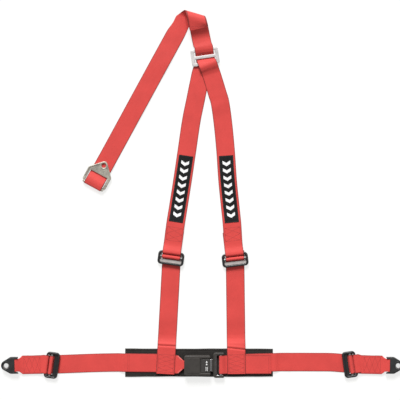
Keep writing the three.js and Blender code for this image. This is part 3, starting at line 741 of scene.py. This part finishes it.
rear = {"barX": -294.4, "barY": 25.7, "heading": 61.4, "barZ": 5.4, "loop": 4.6}
fold = {"slope": -12.0, "lean": 24.5, "half": 14.5, "rise": 14.0, "cone": 0.12, "x": -14.5, "y": 472.5,
        "seam": 25.0}


def rearStrap(values, turned):
    # a flat strap rolled over a half-ellipse: while it turns over, it drifts sideways along the fold by the
    # tangent of its lean; the roll grows towards its left end, like a cone
    slope = math.radians(turned["slope"])
    f = np.array([math.cos(slope), math.sin(slope)])
    n = np.array([-f[1], f[0]])
    drift = math.tan(math.radians(turned["lean"]))
    arc = math.pi * math.sqrt((turned["half"] ** 2 + turned["rise"] ** 2) / 2)
    top = np.array([turned["x"], turned["y"]])
    high = harness["floorLevel"] + 2 * turned["rise"]
    across = 50 / math.cos(math.radians(turned["lean"]))
    front = 90 + turned["slope"] + turned["lean"]
    ruled = 90 + turned["slope"]

    def at(q, h, z, heading, width=50.0):
        plan = top + f * q + n * h
        return [plan[0], plan[1], z, heading, width]

    seam = turned["seam"]
    along = np.array([math.cos(math.radians(values["heading"])), math.sin(math.radians(values["heading"]))])
    start = np.array([values["barX"], values["barY"]])

    def legAt(h):
        # how far along the fold the leg's middle is, at a distance across it
        place = start + along * (h - (start - top) @ n) / (along @ n)
        return (place - top) @ f

    upper = [at(drift * seam, -seam, 21.3, front), at(drift * 4, -4, high - 0.2, ruled, across)]
    roll = [at(-drift * arc * t + (legAt(0) + drift * arc) * max(2 * t - 1, 0) ** 1.5,
               turned["half"] * math.sin(math.pi * t), high - turned["rise"] * (1 - math.cos(math.pi * t)),
               ruled, across - 10 * max(2 * t - 1, 0))
            for t in np.linspace(0, 1, 13)]
    lower = [at(legAt(-14), -14, harness["floorLevel"], ruled + 8, 47)]
    leg = run(values["barX"], values["barY"], values["heading"], [
        (450, 0.75), (380, 0.75), (300, 0.75), (200, 0.75), (100, 0.75), (30, 0.75), (8, 0.75),
        *turn(0, values["barZ"], values["loop"], 270, 90, 14),
        (6, 11.0), (13, 10.6), (22, 7.4), (28, 4.2), (33, 2.6), (40, 2.55), (80, 2.55)])

    def cone(points, c, far):
        # the roll's reach and height grow by a share of the distance across the strap
        reach = (points[..., :2] - top) @ n
        share = np.clip((far - 15) / 25, 0, 1) * np.clip((110 - far) / 25, 0, 1) * turned["cone"] * c / 25
        points[..., :2] += (np.maximum(reach, 0) * share)[..., None] * n
        points[..., 2] += (points[..., 2] - harness["floorLevel"]) * share * 0.5
        return points

    strip = stripMesh("rearStrap", upper + roll + lower + leg, webbing, "shoulder_side", None, 0.25,
                      [(230, 40, 1.8, 0.4), (350, 50, 1.6, -0.4)], 2.0, ["rear_strap"], cone)
    lines = [[(-23, 3), (23, 3)], [(-23, 7), (23, 7)]]
    sewing = stitchMesh("rearSeamSewing", strip, lines, "shoulder_side")
    declareSheet(strip)
    return strip


rearStrap(rear, fold)
print("rear strap made")


def localToPlan(points, x, y, heading):
    # local u, v, z turned to a heading and put at x, y
    c, s = math.cos(math.radians(heading)), math.sin(math.radians(heading))
    points = np.asarray(points, float)
    return np.column_stack([x + points[:, 0] * c - points[:, 1] * s, y + points[:, 0] * s + points[:, 1] * c,
                            points[:, 2]])


def roundedPolygon(corners, radii, steps=8):
    # each corner becomes an arc between the points where a circle of that radius touches both sides
    corners = np.array(corners, float)
    outline = []
    for i, radius in enumerate(radii):
        a, b, c = corners[i - 1], corners[i], corners[(i + 1) % len(corners)]
        toA, toC = (a - b) / np.linalg.norm(a - b), (c - b) / np.linalg.norm(c - b)
        half = math.acos(np.clip(toA @ toC, -1, 1)) / 2
        middle = b + (toA + toC) / np.linalg.norm(toA + toC) * radius / math.sin(half)
        first = b + toA * radius / math.tan(half) - middle
        last = b + toC * radius / math.tan(half) - middle
        start, sweep = math.atan2(first[1], first[0]), math.atan2(last[1], last[0])
        sweep = (sweep - start + math.pi) % (2 * math.pi) - math.pi
        angle = start + sweep * np.linspace(0, 1, steps + 1)
        outline.append(middle + radius * np.column_stack([np.cos(angle), np.sin(angle)]))
    return np.concatenate(outline)


def rectangle(u0, u1, v0, v1, radius, steps=8):
    return roundedPolygon([(u0, v0), (u1, v0), (u1, v1), (u0, v1)], [radius] * 4, steps)


def circle(u, v, radius, steps=40):
    angle = np.linspace(0, 2 * math.pi, steps, endpoint=False)
    return np.column_stack([u + radius * np.cos(angle), v + radius * np.sin(angle)])


def plate(name, outline, holes, z0, z1, edge, place):
    # a flat plate with rounded edges: a filled 2D curve with depth and bevel, made a mesh in its place
    curve = bpy.data.curves.new(name, "CURVE")
    curve.dimensions = "2D"
    curve.fill_mode = "BOTH"
    curve.extrude = (z1 - z0) / 2 - edge
    curve.bevel_depth = edge
    curve.bevel_resolution = 3
    curve.offset = -edge
    for loop in (outline, *holes):
        spline = curve.splines.new("POLY")
        spline.points.add(len(loop) - 1)
        flat = np.column_stack([loop, np.zeros(len(loop)), np.ones(len(loop))])
        spline.points.foreach_set("co", flat.ravel())
        spline.use_cyclic_u = True
    carrier = bpy.data.objects.new(name + "Curve", curve)
    bpy.context.scene.collection.objects.link(carrier)
    bpy.context.view_layer.update()
    mesh = bpy.data.meshes.new_from_object(carrier.evaluated_get(bpy.context.evaluated_depsgraph_get()))
    bpy.data.objects.remove(carrier)
    bpy.data.curves.remove(curve)
    flat = np.empty(3 * len(mesh.vertices))
    mesh.vertices.foreach_get("co", flat)
    points = flat.reshape(-1, 3) + [0, 0, (z0 + z1) / 2]
    mesh.vertices.foreach_set("co", toWorld(localToPlan(points, *place)).ravel())
    solid = bmesh.new()
    solid.from_mesh(mesh)
    bmesh.ops.remove_doubles(solid, verts=solid.verts, dist=2e-6)
    bmesh.ops.recalc_face_normals(solid, faces=solid.faces)
    solid.to_mesh(mesh)
    solid.free()
    mesh.name = name
    piece = bpy.data.objects.new(name, mesh)
    bpy.context.scene.collection.objects.link(piece)
    return piece


def blockMesh(u0, u1, v0, v1, z0, z1, place):
    # a plain cutter box
    corners = [(u, v, z) for u in (u0, u1) for v in (v0, v1) for z in (z0, z1)]
    faces = [(0, 1, 3, 2), (4, 6, 7, 5), (0, 4, 5, 1), (2, 3, 7, 6), (0, 2, 6, 4), (1, 5, 7, 3)]
    mesh = bpy.data.meshes.new("cutter")
    mesh.from_pydata(toWorld(localToPlan(corners, *place)).tolist(), [], faces)
    piece = bpy.data.objects.new("cutter", mesh)
    bpy.context.scene.collection.objects.link(piece)
    facesOut(piece)
    return piece


def cutAway(piece, *cutters, join=False):
    # takes the cutters out of a piece, or joins them to it, and keeps only the result
    for cutter in cutters:
        change = piece.modifiers.new("cut", "BOOLEAN")
        change.operation = "UNION" if join else "DIFFERENCE"
        change.solver = "EXACT"
        change.object = cutter
        bpy.context.view_layer.update()
        mesh = bpy.data.meshes.new_from_object(piece.evaluated_get(bpy.context.evaluated_depsgraph_get()))
        piece.modifiers.clear()
        old = piece.data
        piece.data = mesh
        mesh.name = piece.name
        bpy.data.meshes.remove(old)
        bpy.data.objects.remove(cutter)
    return piece


def roundBar(name, u, z, radius, halfLength, place, material, body):
    # a bar across the strap with rounded ends: circles along it whose radius closes at both ends
    bend = np.radians(np.linspace(0, 90, 5))
    inset = radius * 0.25
    tip = np.column_stack([-halfLength + inset * (1 - np.sin(bend)),
                           radius - inset * (1 - np.sin(bend[::-1]))])
    line = np.concatenate([[[-halfLength, 0.01]], tip[::-1], tip * [-1, 1], [[halfLength, 0.01]]])
    line = line[np.argsort(line[:, 0], kind="stable")]
    sides = 28
    angle = np.linspace(0, 2 * math.pi, sides, endpoint=False)
    v = np.repeat(line[:, 0], sides)
    r = np.repeat(line[:, 1], sides)
    a = np.tile(angle, len(line))
    points = np.column_stack([u + r * np.cos(a), v, z + r * np.sin(a)])
    return placedMesh(name, points, gridFaces(len(line), sides), place, material, body)


def placedMesh(name, points, faces, place, material, body, replaced=()):
    # a finished mesh from points in a part's own place, faces outwards
    piece = makeMesh(name, localToPlan(points, *place), faces, material, body, None, True, replaced)
    facesOut(piece)
    return piece


def eyeRing(name, u, radius, halfWide, halfTall, z, place, material, body, steps=44):
    # a raised ring round a bolt eye
    size = [np.full(steps, value) for value in (halfWide, halfTall, z)]
    points, faces = sweptRing(circle(u, 0, radius, steps), *size, 2.0, 12)
    placedMesh(name, points, faces, place, material, body)


def sweptRing(path, halfWide, halfTall, middle, power=2.6, sides=20):
    # a bar bent round a closed outline: at each step a superellipse stands across the outline
    ahead = np.roll(path, -1, axis=0) - np.roll(path, 1, axis=0)
    ahead /= np.linalg.norm(ahead, axis=1)[:, None]
    out = np.column_stack([ahead[:, 1], -ahead[:, 0]])
    angle = np.linspace(0, 2 * math.pi, sides, endpoint=False)
    wide = np.sign(np.cos(angle)) * np.abs(np.cos(angle)) ** (2 / power)
    tall = np.sign(np.sin(angle)) * np.abs(np.sin(angle)) ** (2 / power)
    plan = path[:, None] + out[:, None] * (halfWide[:, None, None] * wide[None, :, None])
    z = middle[:, None] + halfTall[:, None] * tall[None]
    return np.concatenate([plan, z[..., None]], -1).reshape(-1, 3), gridFaces(len(path), sides, True)


frameLook = {"outerU": 19.0, "outerV": 35.5, "corner": 9.5, "side": 3.2, "sideTop": 10.8, "sideLow": 1.8,
             "barHalf": 3.0}


def adjusterFrame(key, look):
    # a rim round the adjuster, round where the strap loops on it, with a dished grip plate at the other end
    place = adjusters[key]
    rim = rectangle(-15.0, look["outerU"] - look["side"], -look["outerV"] + look["side"],
                    look["outerV"] - look["side"], look["corner"] - look["side"], 7)
    closed = np.vstack([rim, rim[:1]])
    gap = np.linalg.norm(np.diff(closed, axis=0), axis=1)
    at = np.concatenate([[0], np.cumsum(gap)])
    t = np.linspace(0, at[-1], 180, endpoint=False)
    path = np.column_stack([np.interp(t, at, closed[:, i]) for i in range(2)])
    nearBar = np.clip((-path[:, 0] - 8.0) / 6.5, 0, 1)
    nearBar = nearBar ** 2 * (3 - 2 * nearBar)
    tall = (look["sideTop"] - look["sideLow"]) / 2
    halfTall = tall + (look["barHalf"] - tall) * nearBar
    halfWide = look["side"] + (look["barHalf"] - look["side"]) * nearBar
    middle = (look["sideTop"] + look["sideLow"]) / 2 + (harness["barZ"] - 6.3) * nearBar
    points, faces = sweptRing(path, halfWide, halfTall, middle)
    name, body = pieceName(key), key + "_adjuster"
    placedMesh("frame" + name, points, faces, place, blackCoat, body, [key + "_frame"])
    # painted reflection: the shoulder adjusters' grip plate and flanks are grey where their black steel would
    # reflect the light; the lap adjusters keep the black
    face = reflectionGreySteel if "shoulder" in key else blackCoat
    gripPlate("grip" + name, place, body, look, face)
    for number, edge in enumerate((-1, 1)):
        inner, outer = sorted((edge * 25.2, edge * 32.0))
        outline = rectangle(-11.5, 7, inner, outer, 1.0, 4)
        flank = plate("flank" + name + str(number + 1), outline, [], 2.0, 3.4, 0.3, place)
        finishPiece(flank, face, body, True, (), 40)


def gripPlate(name, place, body, look, face):
    # a dished plate: its height falls and rises along u, and it curls up at both ends across v
    u = np.linspace(4.6, look["outerU"] - 2.0, 22)
    v = np.linspace(-31.5, 31.5, 46)
    uu, vv = np.meshgrid(u, v, indexing="ij")
    t = (uu - u[0]) / (u[-1] - u[0])
    height = 6.6 - 0.6 * np.sin(t * math.pi) + 2.6 * np.clip((t - 0.8) / 0.2, 0, 1) ** 2
    height = (height + 0.9 * np.clip((0.16 - t) / 0.16, 0, 1) ** 2
              + 2.0 * np.clip((np.abs(vv) - 28) / 3.5, 0, 1) ** 2)
    top = np.stack([uu, vv, height], -1).reshape(-1, 3)
    bottom = top - [0, 0, 1.6]
    points = np.concatenate([top, bottom])
    placedMesh(name, points, slabFaces(*uu.shape), place, face, body)


for key in adjusters:
    adjusterFrame(key, frameLook)
print("adjusters made")


def junctionSlide(values):
    w, h = values["width"] / 2, values["height"] / 2
    inside, m = w - 9, values["middle"] / 2
    place = (values["x"], values["y"], values["turn"])
    slots = [rectangle(-inside, inside, low, high, 2.0)
             for low, high in ((m, h - values["bar"]), (values["bar"] - h, -m))]
    outline = rectangle(-w, w, -h, h, 6.0, 10)
    piece = plate("junctionSlide", outline, slots, values["z0"], values["z1"], 1.3, place)
    finishPiece(piece, zinc, "shoulder_side", True, ["junction_slide"], 50)


junctionSlide(slide)


rearPlate = {"half": 34.5, "straight": 40.0, "tip": 77.0, "slotHalf": 27.0, "slotFrom": 3.4, "slotEnd": 34.6,
             "eye": 60.6, "eyeRadius": 6.0, "z0": 3.9, "z1": 6.6, "rim": 8.2}


def rearAnchorPlate(values):
    # a five-sided plate, a rim turned up round its edge, a raised ring round the bolt eye, and the web bar
    place = (rear["barX"], rear["barY"], rear["heading"])
    h = values["half"]
    corners = [(-1.5, -h), (values["straight"], -h), (values["tip"], 0), (values["straight"], h), (-1.5, h)]
    outline = roundedPolygon(corners, [10.0, 9.0, 9.0, 9.0, 10.0], 10)
    slot = rectangle(values["slotFrom"], values["slotEnd"], -values["slotHalf"], values["slotHalf"], 4.0)
    eye = circle(values["eye"], 0, values["eyeRadius"])
    body = plate("rearAnchorPlate", outline, [slot, eye], values["z0"], values["z1"], 0.9, place)
    finishPiece(body, rearZinc, "rear_anchor", True, ["rear_anchor_plate"], 50)
    inner = roundedPolygon([(1.5, -h + 2), (values["straight"] - 0.6, -h + 2), (values["tip"] - 4, 0),
                            (values["straight"] - 0.6, h - 2), (1.5, h - 2)], [8.0, 8.0, 8.0, 8.0, 8.0], 10)
    keep = inner[(inner[:, 0] > 8.0)]
    step = np.linalg.norm(np.diff(np.vstack([keep, keep[:1]]), axis=0), axis=1)
    keep = np.roll(keep, -int(np.argmax(step)) - 1, axis=0)
    addBead("rearPlateRim", keep, 2.0, values["z1"] - 1.2, values["rim"], place)
    eyeRing("rearEyeRing", values["eye"], values["eyeRadius"] + 2.6, 1.5, 1.1, values["z1"] + 0.2, place,
            rearZinc, "rear_anchor")
    roundBar("rearWebBar", 0, rear["barZ"], 3.5, values["slotHalf"] + 3.5, place, rearZinc, "rear_anchor")


def addBead(name, line, halfWide, z0, z1, place):
    # a raised bead along an open line, lower towards its two ends
    at = np.concatenate([[0], np.cumsum(np.linalg.norm(np.diff(line, axis=0), axis=1))])
    t = np.linspace(0, at[-1], 150)
    path = np.column_stack([np.interp(t, at, line[:, i]) for i in range(2)])
    ahead = np.gradient(path, axis=0)
    ahead /= np.linalg.norm(ahead, axis=1)[:, None]
    out = np.column_stack([ahead[:, 1], -ahead[:, 0]])
    angle = np.linspace(0, 2 * math.pi, 16, endpoint=False)
    ease = np.clip(np.minimum(t, at[-1] - t) / 8.0, 0.15, 1)
    tall = (z1 - z0) / 2 * ease
    plan = path[:, None] + out[:, None] * (halfWide * ease[:, None, None] * np.cos(angle)[None, :, None])
    z = z0 + tall[:, None] * (1 + np.sin(angle)[None])
    points = np.concatenate([plan, z[..., None]], -1).reshape(-1, 3)
    placedMesh(name, points, gridFaces(150, 16), place, rearZinc, "rear_anchor")


rearAnchorPlate(rearPlate)
print("slide and rear anchor made")


anchors = {"half": 20.4, "slotHalf": 17.4, "straight": 12.0, "eye": 23.8, "eyeRadius": 6.0, "tip": 11.5,
           "wall": 1.6, "z0": 1.8, "z1": 14.5, "opening": 10.0,
           "wing": 8.6,         # how far the boot's side wings reach behind the bar
           "wingInside": 17.6, "wingLow": 7.4}


def noseOutline(start, straight, half, eye, radius):
    # straight sides, then tangents to a round nose about the eye
    side = math.radians(62)
    angle = np.linspace(-side, side, 28)
    nose = np.column_stack([eye + radius * np.cos(angle), radius * np.sin(angle)])
    return np.vstack([[(start, -half)], [(straight - 4, -half)], [(straight, -half + 0.35)], nose,
                      [(straight, half - 0.35)], [(straight - 4, half)], [(start, half)]])


def anchorEnd(side, values):
    heading = 181.2 if side == "left" else -1.2
    sign = -1 if side == "left" else 1
    place = (sign * ends["barX"], ends["barY"], heading)
    body = side + "_anchor"
    eye, barZ = values["eye"], ends["barZ"]
    outline = noseOutline(-1, values["straight"], values["half"], eye, values["tip"])
    slot = rectangle(3.2, 10.5, -values["slotHalf"], values["slotHalf"], 1.5)
    steelPlate = plate(side + "AnchorPlate", outline, [slot, circle(eye, 0, values["eyeRadius"])],
                       barZ - 1.5, barZ + 1.5, 0.5, place)
    finishPiece(steelPlate, anchorZinc, body, True, [side + "_anchor_plate"], 50)
    roundBar(side + "AnchorBar", 0, barZ, 3.0, values["half"] - 0.6, place, anchorZinc, body)
    eyeRing(side + "EyeRing", eye, values["eyeRadius"] + 1.7, 1.3, 0.7, barZ + 1.7, place, anchorZinc, body,
            40)
    wall = values["wall"]
    outer = noseOutline(-values["wing"], 13, values["half"] + 0.4 + wall, eye, values["tip"] + 0.4 + wall)
    inner = noseOutline(-values["wing"] - 4, 12, values["half"] + 0.4, eye, values["tip"] + 0.4)
    hole = circle(eye, 0, values["opening"])
    boot = plate(side + "AnchorBoot", outer, [hole], values["z0"], values["z1"], 2.6, place)
    cavity = plate("cavity", inner, [], values["z0"] + 1.2, values["z1"] - 1.2, 1.2, place)
    reach = values["wing"] + 3
    mouth = blockMesh(-reach, 0.8, -values["wingInside"], values["wingInside"], -2, values["z1"] + 3, place)
    under = blockMesh(-reach, 0.8, -values["half"] - 5, values["half"] + 5, -2, values["wingLow"], place)
    cutAway(boot, cavity, mouth, under)
    finishPiece(boot, rubber, body, True, [side + "_anchor_boot"], 40)
    eyeRing(side + "BootLip", eye, values["opening"] + 0.9, 1.2, 0.8, values["z1"] - 0.1, place, rubber, body)


for side in ("left", "right"):
    anchorEnd(side, anchors)
print("lap anchors made")


buckle = {"x0": -48.5, "x1": 22.5, "half": 27.0, "z0": 4.3, "split": 11.0, "z1": 22.5, "buttonHalf": 19.0,
          "buttonFrom": -4.0}


def buckleShells(values):
    place = (0, harness["buckleY"], 0)
    x0, x1, h, b = values["x0"], values["x1"], values["half"], values["buttonHalf"]
    back = values["buttonFrom"]
    notch = [(x0, -h), (x1, -h), (x1, -b), (back, -b), (back, b), (x1, b), (x1, h), (x0, h)]
    # outer corners are rounder than the edge is deep, or the rounded edge would cross itself
    outline = roundedPolygon(notch, [6, 4, 3, 2, 2, 3, 4, 6])
    top = plate("buckleTopCover", outline, [], values["split"], values["z1"], 2.4, place)
    cavity = blockMesh(x0 + 2.4, x1 - 6, -h + 2.4, h - 2.4, values["split"] - 3, values["z1"] - 2.6, place)
    mouth = blockMesh(x0 - 2, x0 + 4, -13.5, 13.5, values["split"] - 3, 17.8, place)
    pressRoom = blockMesh(-9.8, x1 - 7, -b - 0.2, b + 0.2, values["split"] + 1, values["z1"] - 1.6, place)
    cutAway(top, cavity, mouth, pressRoom)
    finishPiece(top, plastic, "buckle_side", True, ["buckle_top_cover"], 40)
    outline = rectangle(x0, x1, -h, h, 6.0)
    tray = plate("buckleBottomCover", outline, [], values["z0"], values["split"] - 0.3, 1.1, place)
    room = blockMesh(x0 + 6.8, x1 - 6, -h + 2.4, h - 2.4, values["z0"] + 1.8, values["split"] + 2, place)
    webMouth = blockMesh(x0 - 2, x0 + 8, -13.5, 13.5, values["z0"] + 2, values["split"] + 2, place)
    tongueMouth = blockMesh(x1 - 8, x1 + 2, -18, 18, 8.2, values["split"] + 2, place)
    cutAway(tray, room, webMouth, tongueMouth)
    finishPiece(tray, plastic, "buckle_side", True, ["buckle_bottom_cover"], 40)


def bucklePanel(values):
    # a shallow raised panel on the roof, with a low border round it
    place = (0, harness["buckleY"], 0)
    x0, x1 = values["x0"] + 6, values["buttonFrom"] - 3
    outline = rectangle(x0, x1, -values["half"] + 6, values["half"] - 6, 4.0)
    panel = plate("bucklePanel", outline, [], values["z1"] - 0.6, values["z1"] + 0.5, 0.45, place)
    finishPiece(panel, plastic, "buckle_side", True, (), 40)


button = {"x0": -12.0, "x1": 22.0, "half": 18.5, "z0": 13.2, "z1": 20.6}


def releaseButton(values):
    place = (0, harness["buckleY"], 0)
    outline = rectangle(-3.6, values["x1"], -values["half"], values["half"], 2.2)
    press = plate("releaseButton", outline, [], values["z0"], values["z1"], 1.2, place)
    half = values["half"] - 0.4
    stem = blockMesh(values["x0"], -2.0, -half, half, values["z0"] + 0.2, 19.4, place)
    cutAway(press, stem, join=True)
    pawlRoom = blockMesh(values["x0"] - 1, 2.2, -10, 10, values["z0"] - 1, 18.4, place)
    cutAway(press, pawlRoom)
    finishPiece(press, buttonPlastic, "release_button", True, ["release_button"], 40)
    marks = [rectangle(9.4, 10.9, -14.5, -3.0, 0.6, 4), rectangle(13.1, 14.6, -14.5, -3.0, 0.6, 4),
             roundedPolygon([(9.2, 1.5), (14.8, 1.5), (12.0, 6.5)], [0.4] * 3, 4),
             roundedPolygon([(9.2, 8.0), (14.8, 8.0), (12.0, 13.0)], [0.4] * 3, 4)]
    for number, shape in enumerate(marks):
        low, high = values["z1"] - 0.3, values["z1"] + 0.15
        mark = plate("buttonMark" + str(number + 1), shape, [], low, high, 0.12, place)
        finishPiece(mark, markWhite, "release_button", True, (), 40)


tongue = {"x0": 29.5, "x1": 59.0, "half": 34.0, "slotFrom": 37.0, "slotHalf": 27.2, "z0": 5.2, "z1": 14.6}


def tongueParts(values):
    place = (0, harness["buckleY"], 0)
    x0, x1, h, s = values["x0"], values["x1"], values["half"], values["slotHalf"]
    back = values["slotFrom"]
    fork = [(x0, -h), (x1, -h), (x1, -s), (back, -s), (back, s), (x1, s), (x1, h), (x0, h)]
    outline = roundedPolygon(fork, [7, 3, 3, 2, 2, 3, 3, 7])
    cover = plate("tongueCover", outline, [], values["z0"], values["z1"], 2.2, place)
    pocket = blockMesh(x0 - 2, 56.4, -30.9, 30.9, 8.4, 11.5, place)
    cutAway(cover, pocket)
    finishPiece(cover, plastic, "tongue_side", True, ["tongue_cover"], 40)
    lip = plate("tongueLip", rectangle(24.9, x0 + 3, -17.5, 17.5, 1.5, 4), [], 11.4, 12.7, 0.4, place)
    finishPiece(lip, plastic, "tongue_side", True, (), 40)
    outline = roundedPolygon([(-12.3, -16), (29, -16), (32, -30.5), (56, -30.5), (56, -26.6), (38, -26.6),
                              (38, 26.6), (56, 26.6), (56, 30.5), (32, 30.5), (29, 16), (-12.3, 16)],
                             [4, 2, 2, 1.5, 1.5, 1.5, 1.5, 1.5, 1.5, 2, 2, 4], 6)
    blade = plate("tongueBlade", outline, [rectangle(-9.5, -1.5, -9, 9, 1.5)], 8.7, 11.2, 0.6, place)
    finishPiece(blade, steel, "tongue_side", True, ["tongue_plate"], 50)
    roundBar("tongueWebBar", 50, 9.95, 3.0, 27.6, place, steel, "tongue_side")


buckleShells(buckle)
bucklePanel(buckle)
releaseButton(button)
tongueParts(tongue)
print("buckle and tongue made")


buttonSpring = {"turns": 6, "wire": 0.28, "closed": 0.64}


def coilSpring(node, values):
    # a circle carried along a helix that fills the spring's room
    low, high = (np.array(corner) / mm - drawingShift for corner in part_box(node))
    radius = (high[1] - low[1]) / 2 - values["wire"]
    t = np.linspace(0, 1, values["turns"] * 24 + 1)
    angle = 2 * math.pi * values["turns"] * t
    out = np.column_stack([np.zeros_like(t), np.cos(angle), np.sin(angle)])
    line = (low + high) / 2 + out * radius
    line[:, 0] = low[0] + values["wire"] + (high[0] - low[0] - 2 * values["wire"]) * t
    ahead = np.gradient(line, axis=0)
    side = np.cross(ahead / np.linalg.norm(ahead, axis=1)[:, None], out)
    around = np.linspace(0, 2 * math.pi, 10, endpoint=False)[None, :, None]
    points = line[:, None] + values["wire"] * (out[:, None] * np.cos(around) + side[:, None] * np.sin(around))
    name = pieceName(node)
    piece = makeMesh(name[0].lower() + name[1:], points.reshape(-1, 3), gridFaces(len(t), 10), springWire,
                     "buckle_side", None, True, [node])
    facesOut(piece)
    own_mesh(piece)


for node in ("button_spring_1", "button_spring_2"):
    coilSpring(node, buttonSpring)
print("button springs made")


pad = {"x0": -208.0, "x1": 191.0, "half": 38.0, "y": -453.0, "top": 3.9, "edge": 6.0}


def lapPad(values):
    # a rectangle in plan whose long sides wave a little; the top rises from the edge by a root curve, dips
    # along the sewn lines near the edge, and ripples a little all over
    u = np.linspace(-1, 1, 190)
    v = np.linspace(-1, 1, 70)
    uu, vv = np.meshgrid(u, v, indexing="ij")
    half = (values["x1"] - values["x0"]) / 2
    x = (values["x0"] + values["x1"]) / 2 + half * np.sign(uu) * np.abs(uu) ** 0.9
    y = values["y"] + values["half"] * vv
    inX = half - np.abs(x - (values["x0"] + values["x1"]) / 2)
    inY = values["half"] - np.abs(y - values["y"])
    inside = np.minimum(inX, inY)
    rise = np.clip(inside / 2.2, 0, 1) ** 0.5
    seam = 0.7 * np.exp(-((inside - values["edge"]) / 0.9) ** 2)
    ripple = 0.12 * np.sin(x / 9.0) * np.sin(y / 7.0)
    z = np.maximum(values["top"] * rise - seam + ripple * rise - 0.15, 0.05)
    y = y + np.sign(vv) * np.abs(vv) ** 8 * (0.4 * np.sin(x / 45.0) + 0.15 * np.sin(x / 11.0))
    top = np.stack([x, y, z], -1).reshape(-1, 3)
    bottom = np.stack([x, y, np.zeros_like(z)], -1).reshape(-1, 3)
    points = np.concatenate([top, bottom])
    piece = makeMesh("lapPad", points, slabFaces(*uu.shape), padCloth, "buckle_side", None, True, ["lap_pad"])
    facesOut(piece)


lapPad(pad)
print("lap pad made")


# inner parts keep their CAD shape and get a finish of their own
carried = {
    "buckle_channel": steel, "buckle_web_bar": steel, "pawl_pin": steel, "latch_pawl": steel,
    "ejector": plastic,
    "cover_screw_1": steel, "cover_screw_2": steel, "cover_screw_3": steel, "cover_screw_4": steel,
    "pawl_spring": springWire, "ejector_spring": springWire,
}
for key in adjusters:
    carried[key + "_floating_bar"] = barSteel
for node, material in carried.items():
    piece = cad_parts[node]
    piece.data.materials.clear()
    piece.data.materials.append(material)
print("carried nodes finished")


studio = {
    "lookAt": (-5.9, -13.8), "seen": 1080.0, "height": 3200.0, "sensor": 36.0,
    "sky": 0.40, "keyPower": 4.0, "keyPlace": (-0.4, 2.7, 2.1), "keySoft": 24.0, "floorGlow": 0.74,
}


def studioFloor(values):
    # a pale floor lit partly from within, so that shadows on it stay faint
    floorMaterial, tree, shader = shade("studioFloor", (0.26, 0.26, 0.258), 0.9)
    shader.inputs["Specular IOR Level"].default_value = 0.0
    shader.inputs["Emission Color"].default_value = (1, 1, 0.99, 1)
    shader.inputs["Emission Strength"].default_value = values["floorGlow"]
    bpy.ops.mesh.primitive_plane_add(size=14, location=(0, 0, -0.0006))
    floor = bpy.context.object
    floor.name = "studioFloor"
    floor.data.materials.append(floorMaterial)


def studioLight(values):
    world = bpy.data.worlds.new("studioWorld")
    world.use_nodes = True
    world.node_tree.nodes["Background"].inputs[0].default_value = (1, 1, 1, 1)
    world.node_tree.nodes["Background"].inputs[1].default_value = values["sky"]
    bpy.context.scene.world = world
    lamp = bpy.data.lights.new("keyLight", "SUN")
    lamp.energy = values["keyPower"]
    lamp.angle = math.radians(values["keySoft"])
    key = bpy.data.objects.new("keyLight", lamp)
    key.location = values["keyPlace"]
    key.rotation_euler = Vector(values["keyPlace"]).to_track_quat("Z", "Y").to_euler()
    bpy.context.scene.collection.objects.link(key)


def studioCamera(values):
    x, y, _ = toWorld([[*values["lookAt"], 0]])[0]
    lens = bpy.data.cameras.new("camera")
    lens.sensor_width = values["sensor"]
    lens.lens = values["sensor"] * values["height"] / values["seen"]
    lens.clip_end = 50
    camera = bpy.data.objects.new("camera", lens)
    camera.location = (x, y, values["height"] * mm)
    bpy.context.scene.collection.objects.link(camera)
    bpy.context.scene.camera = camera


studioFloor(studio)
studioLight(studio)
studioCamera(studio)
bpy.context.scene.view_settings.view_transform = "Standard"
print("studio ready")
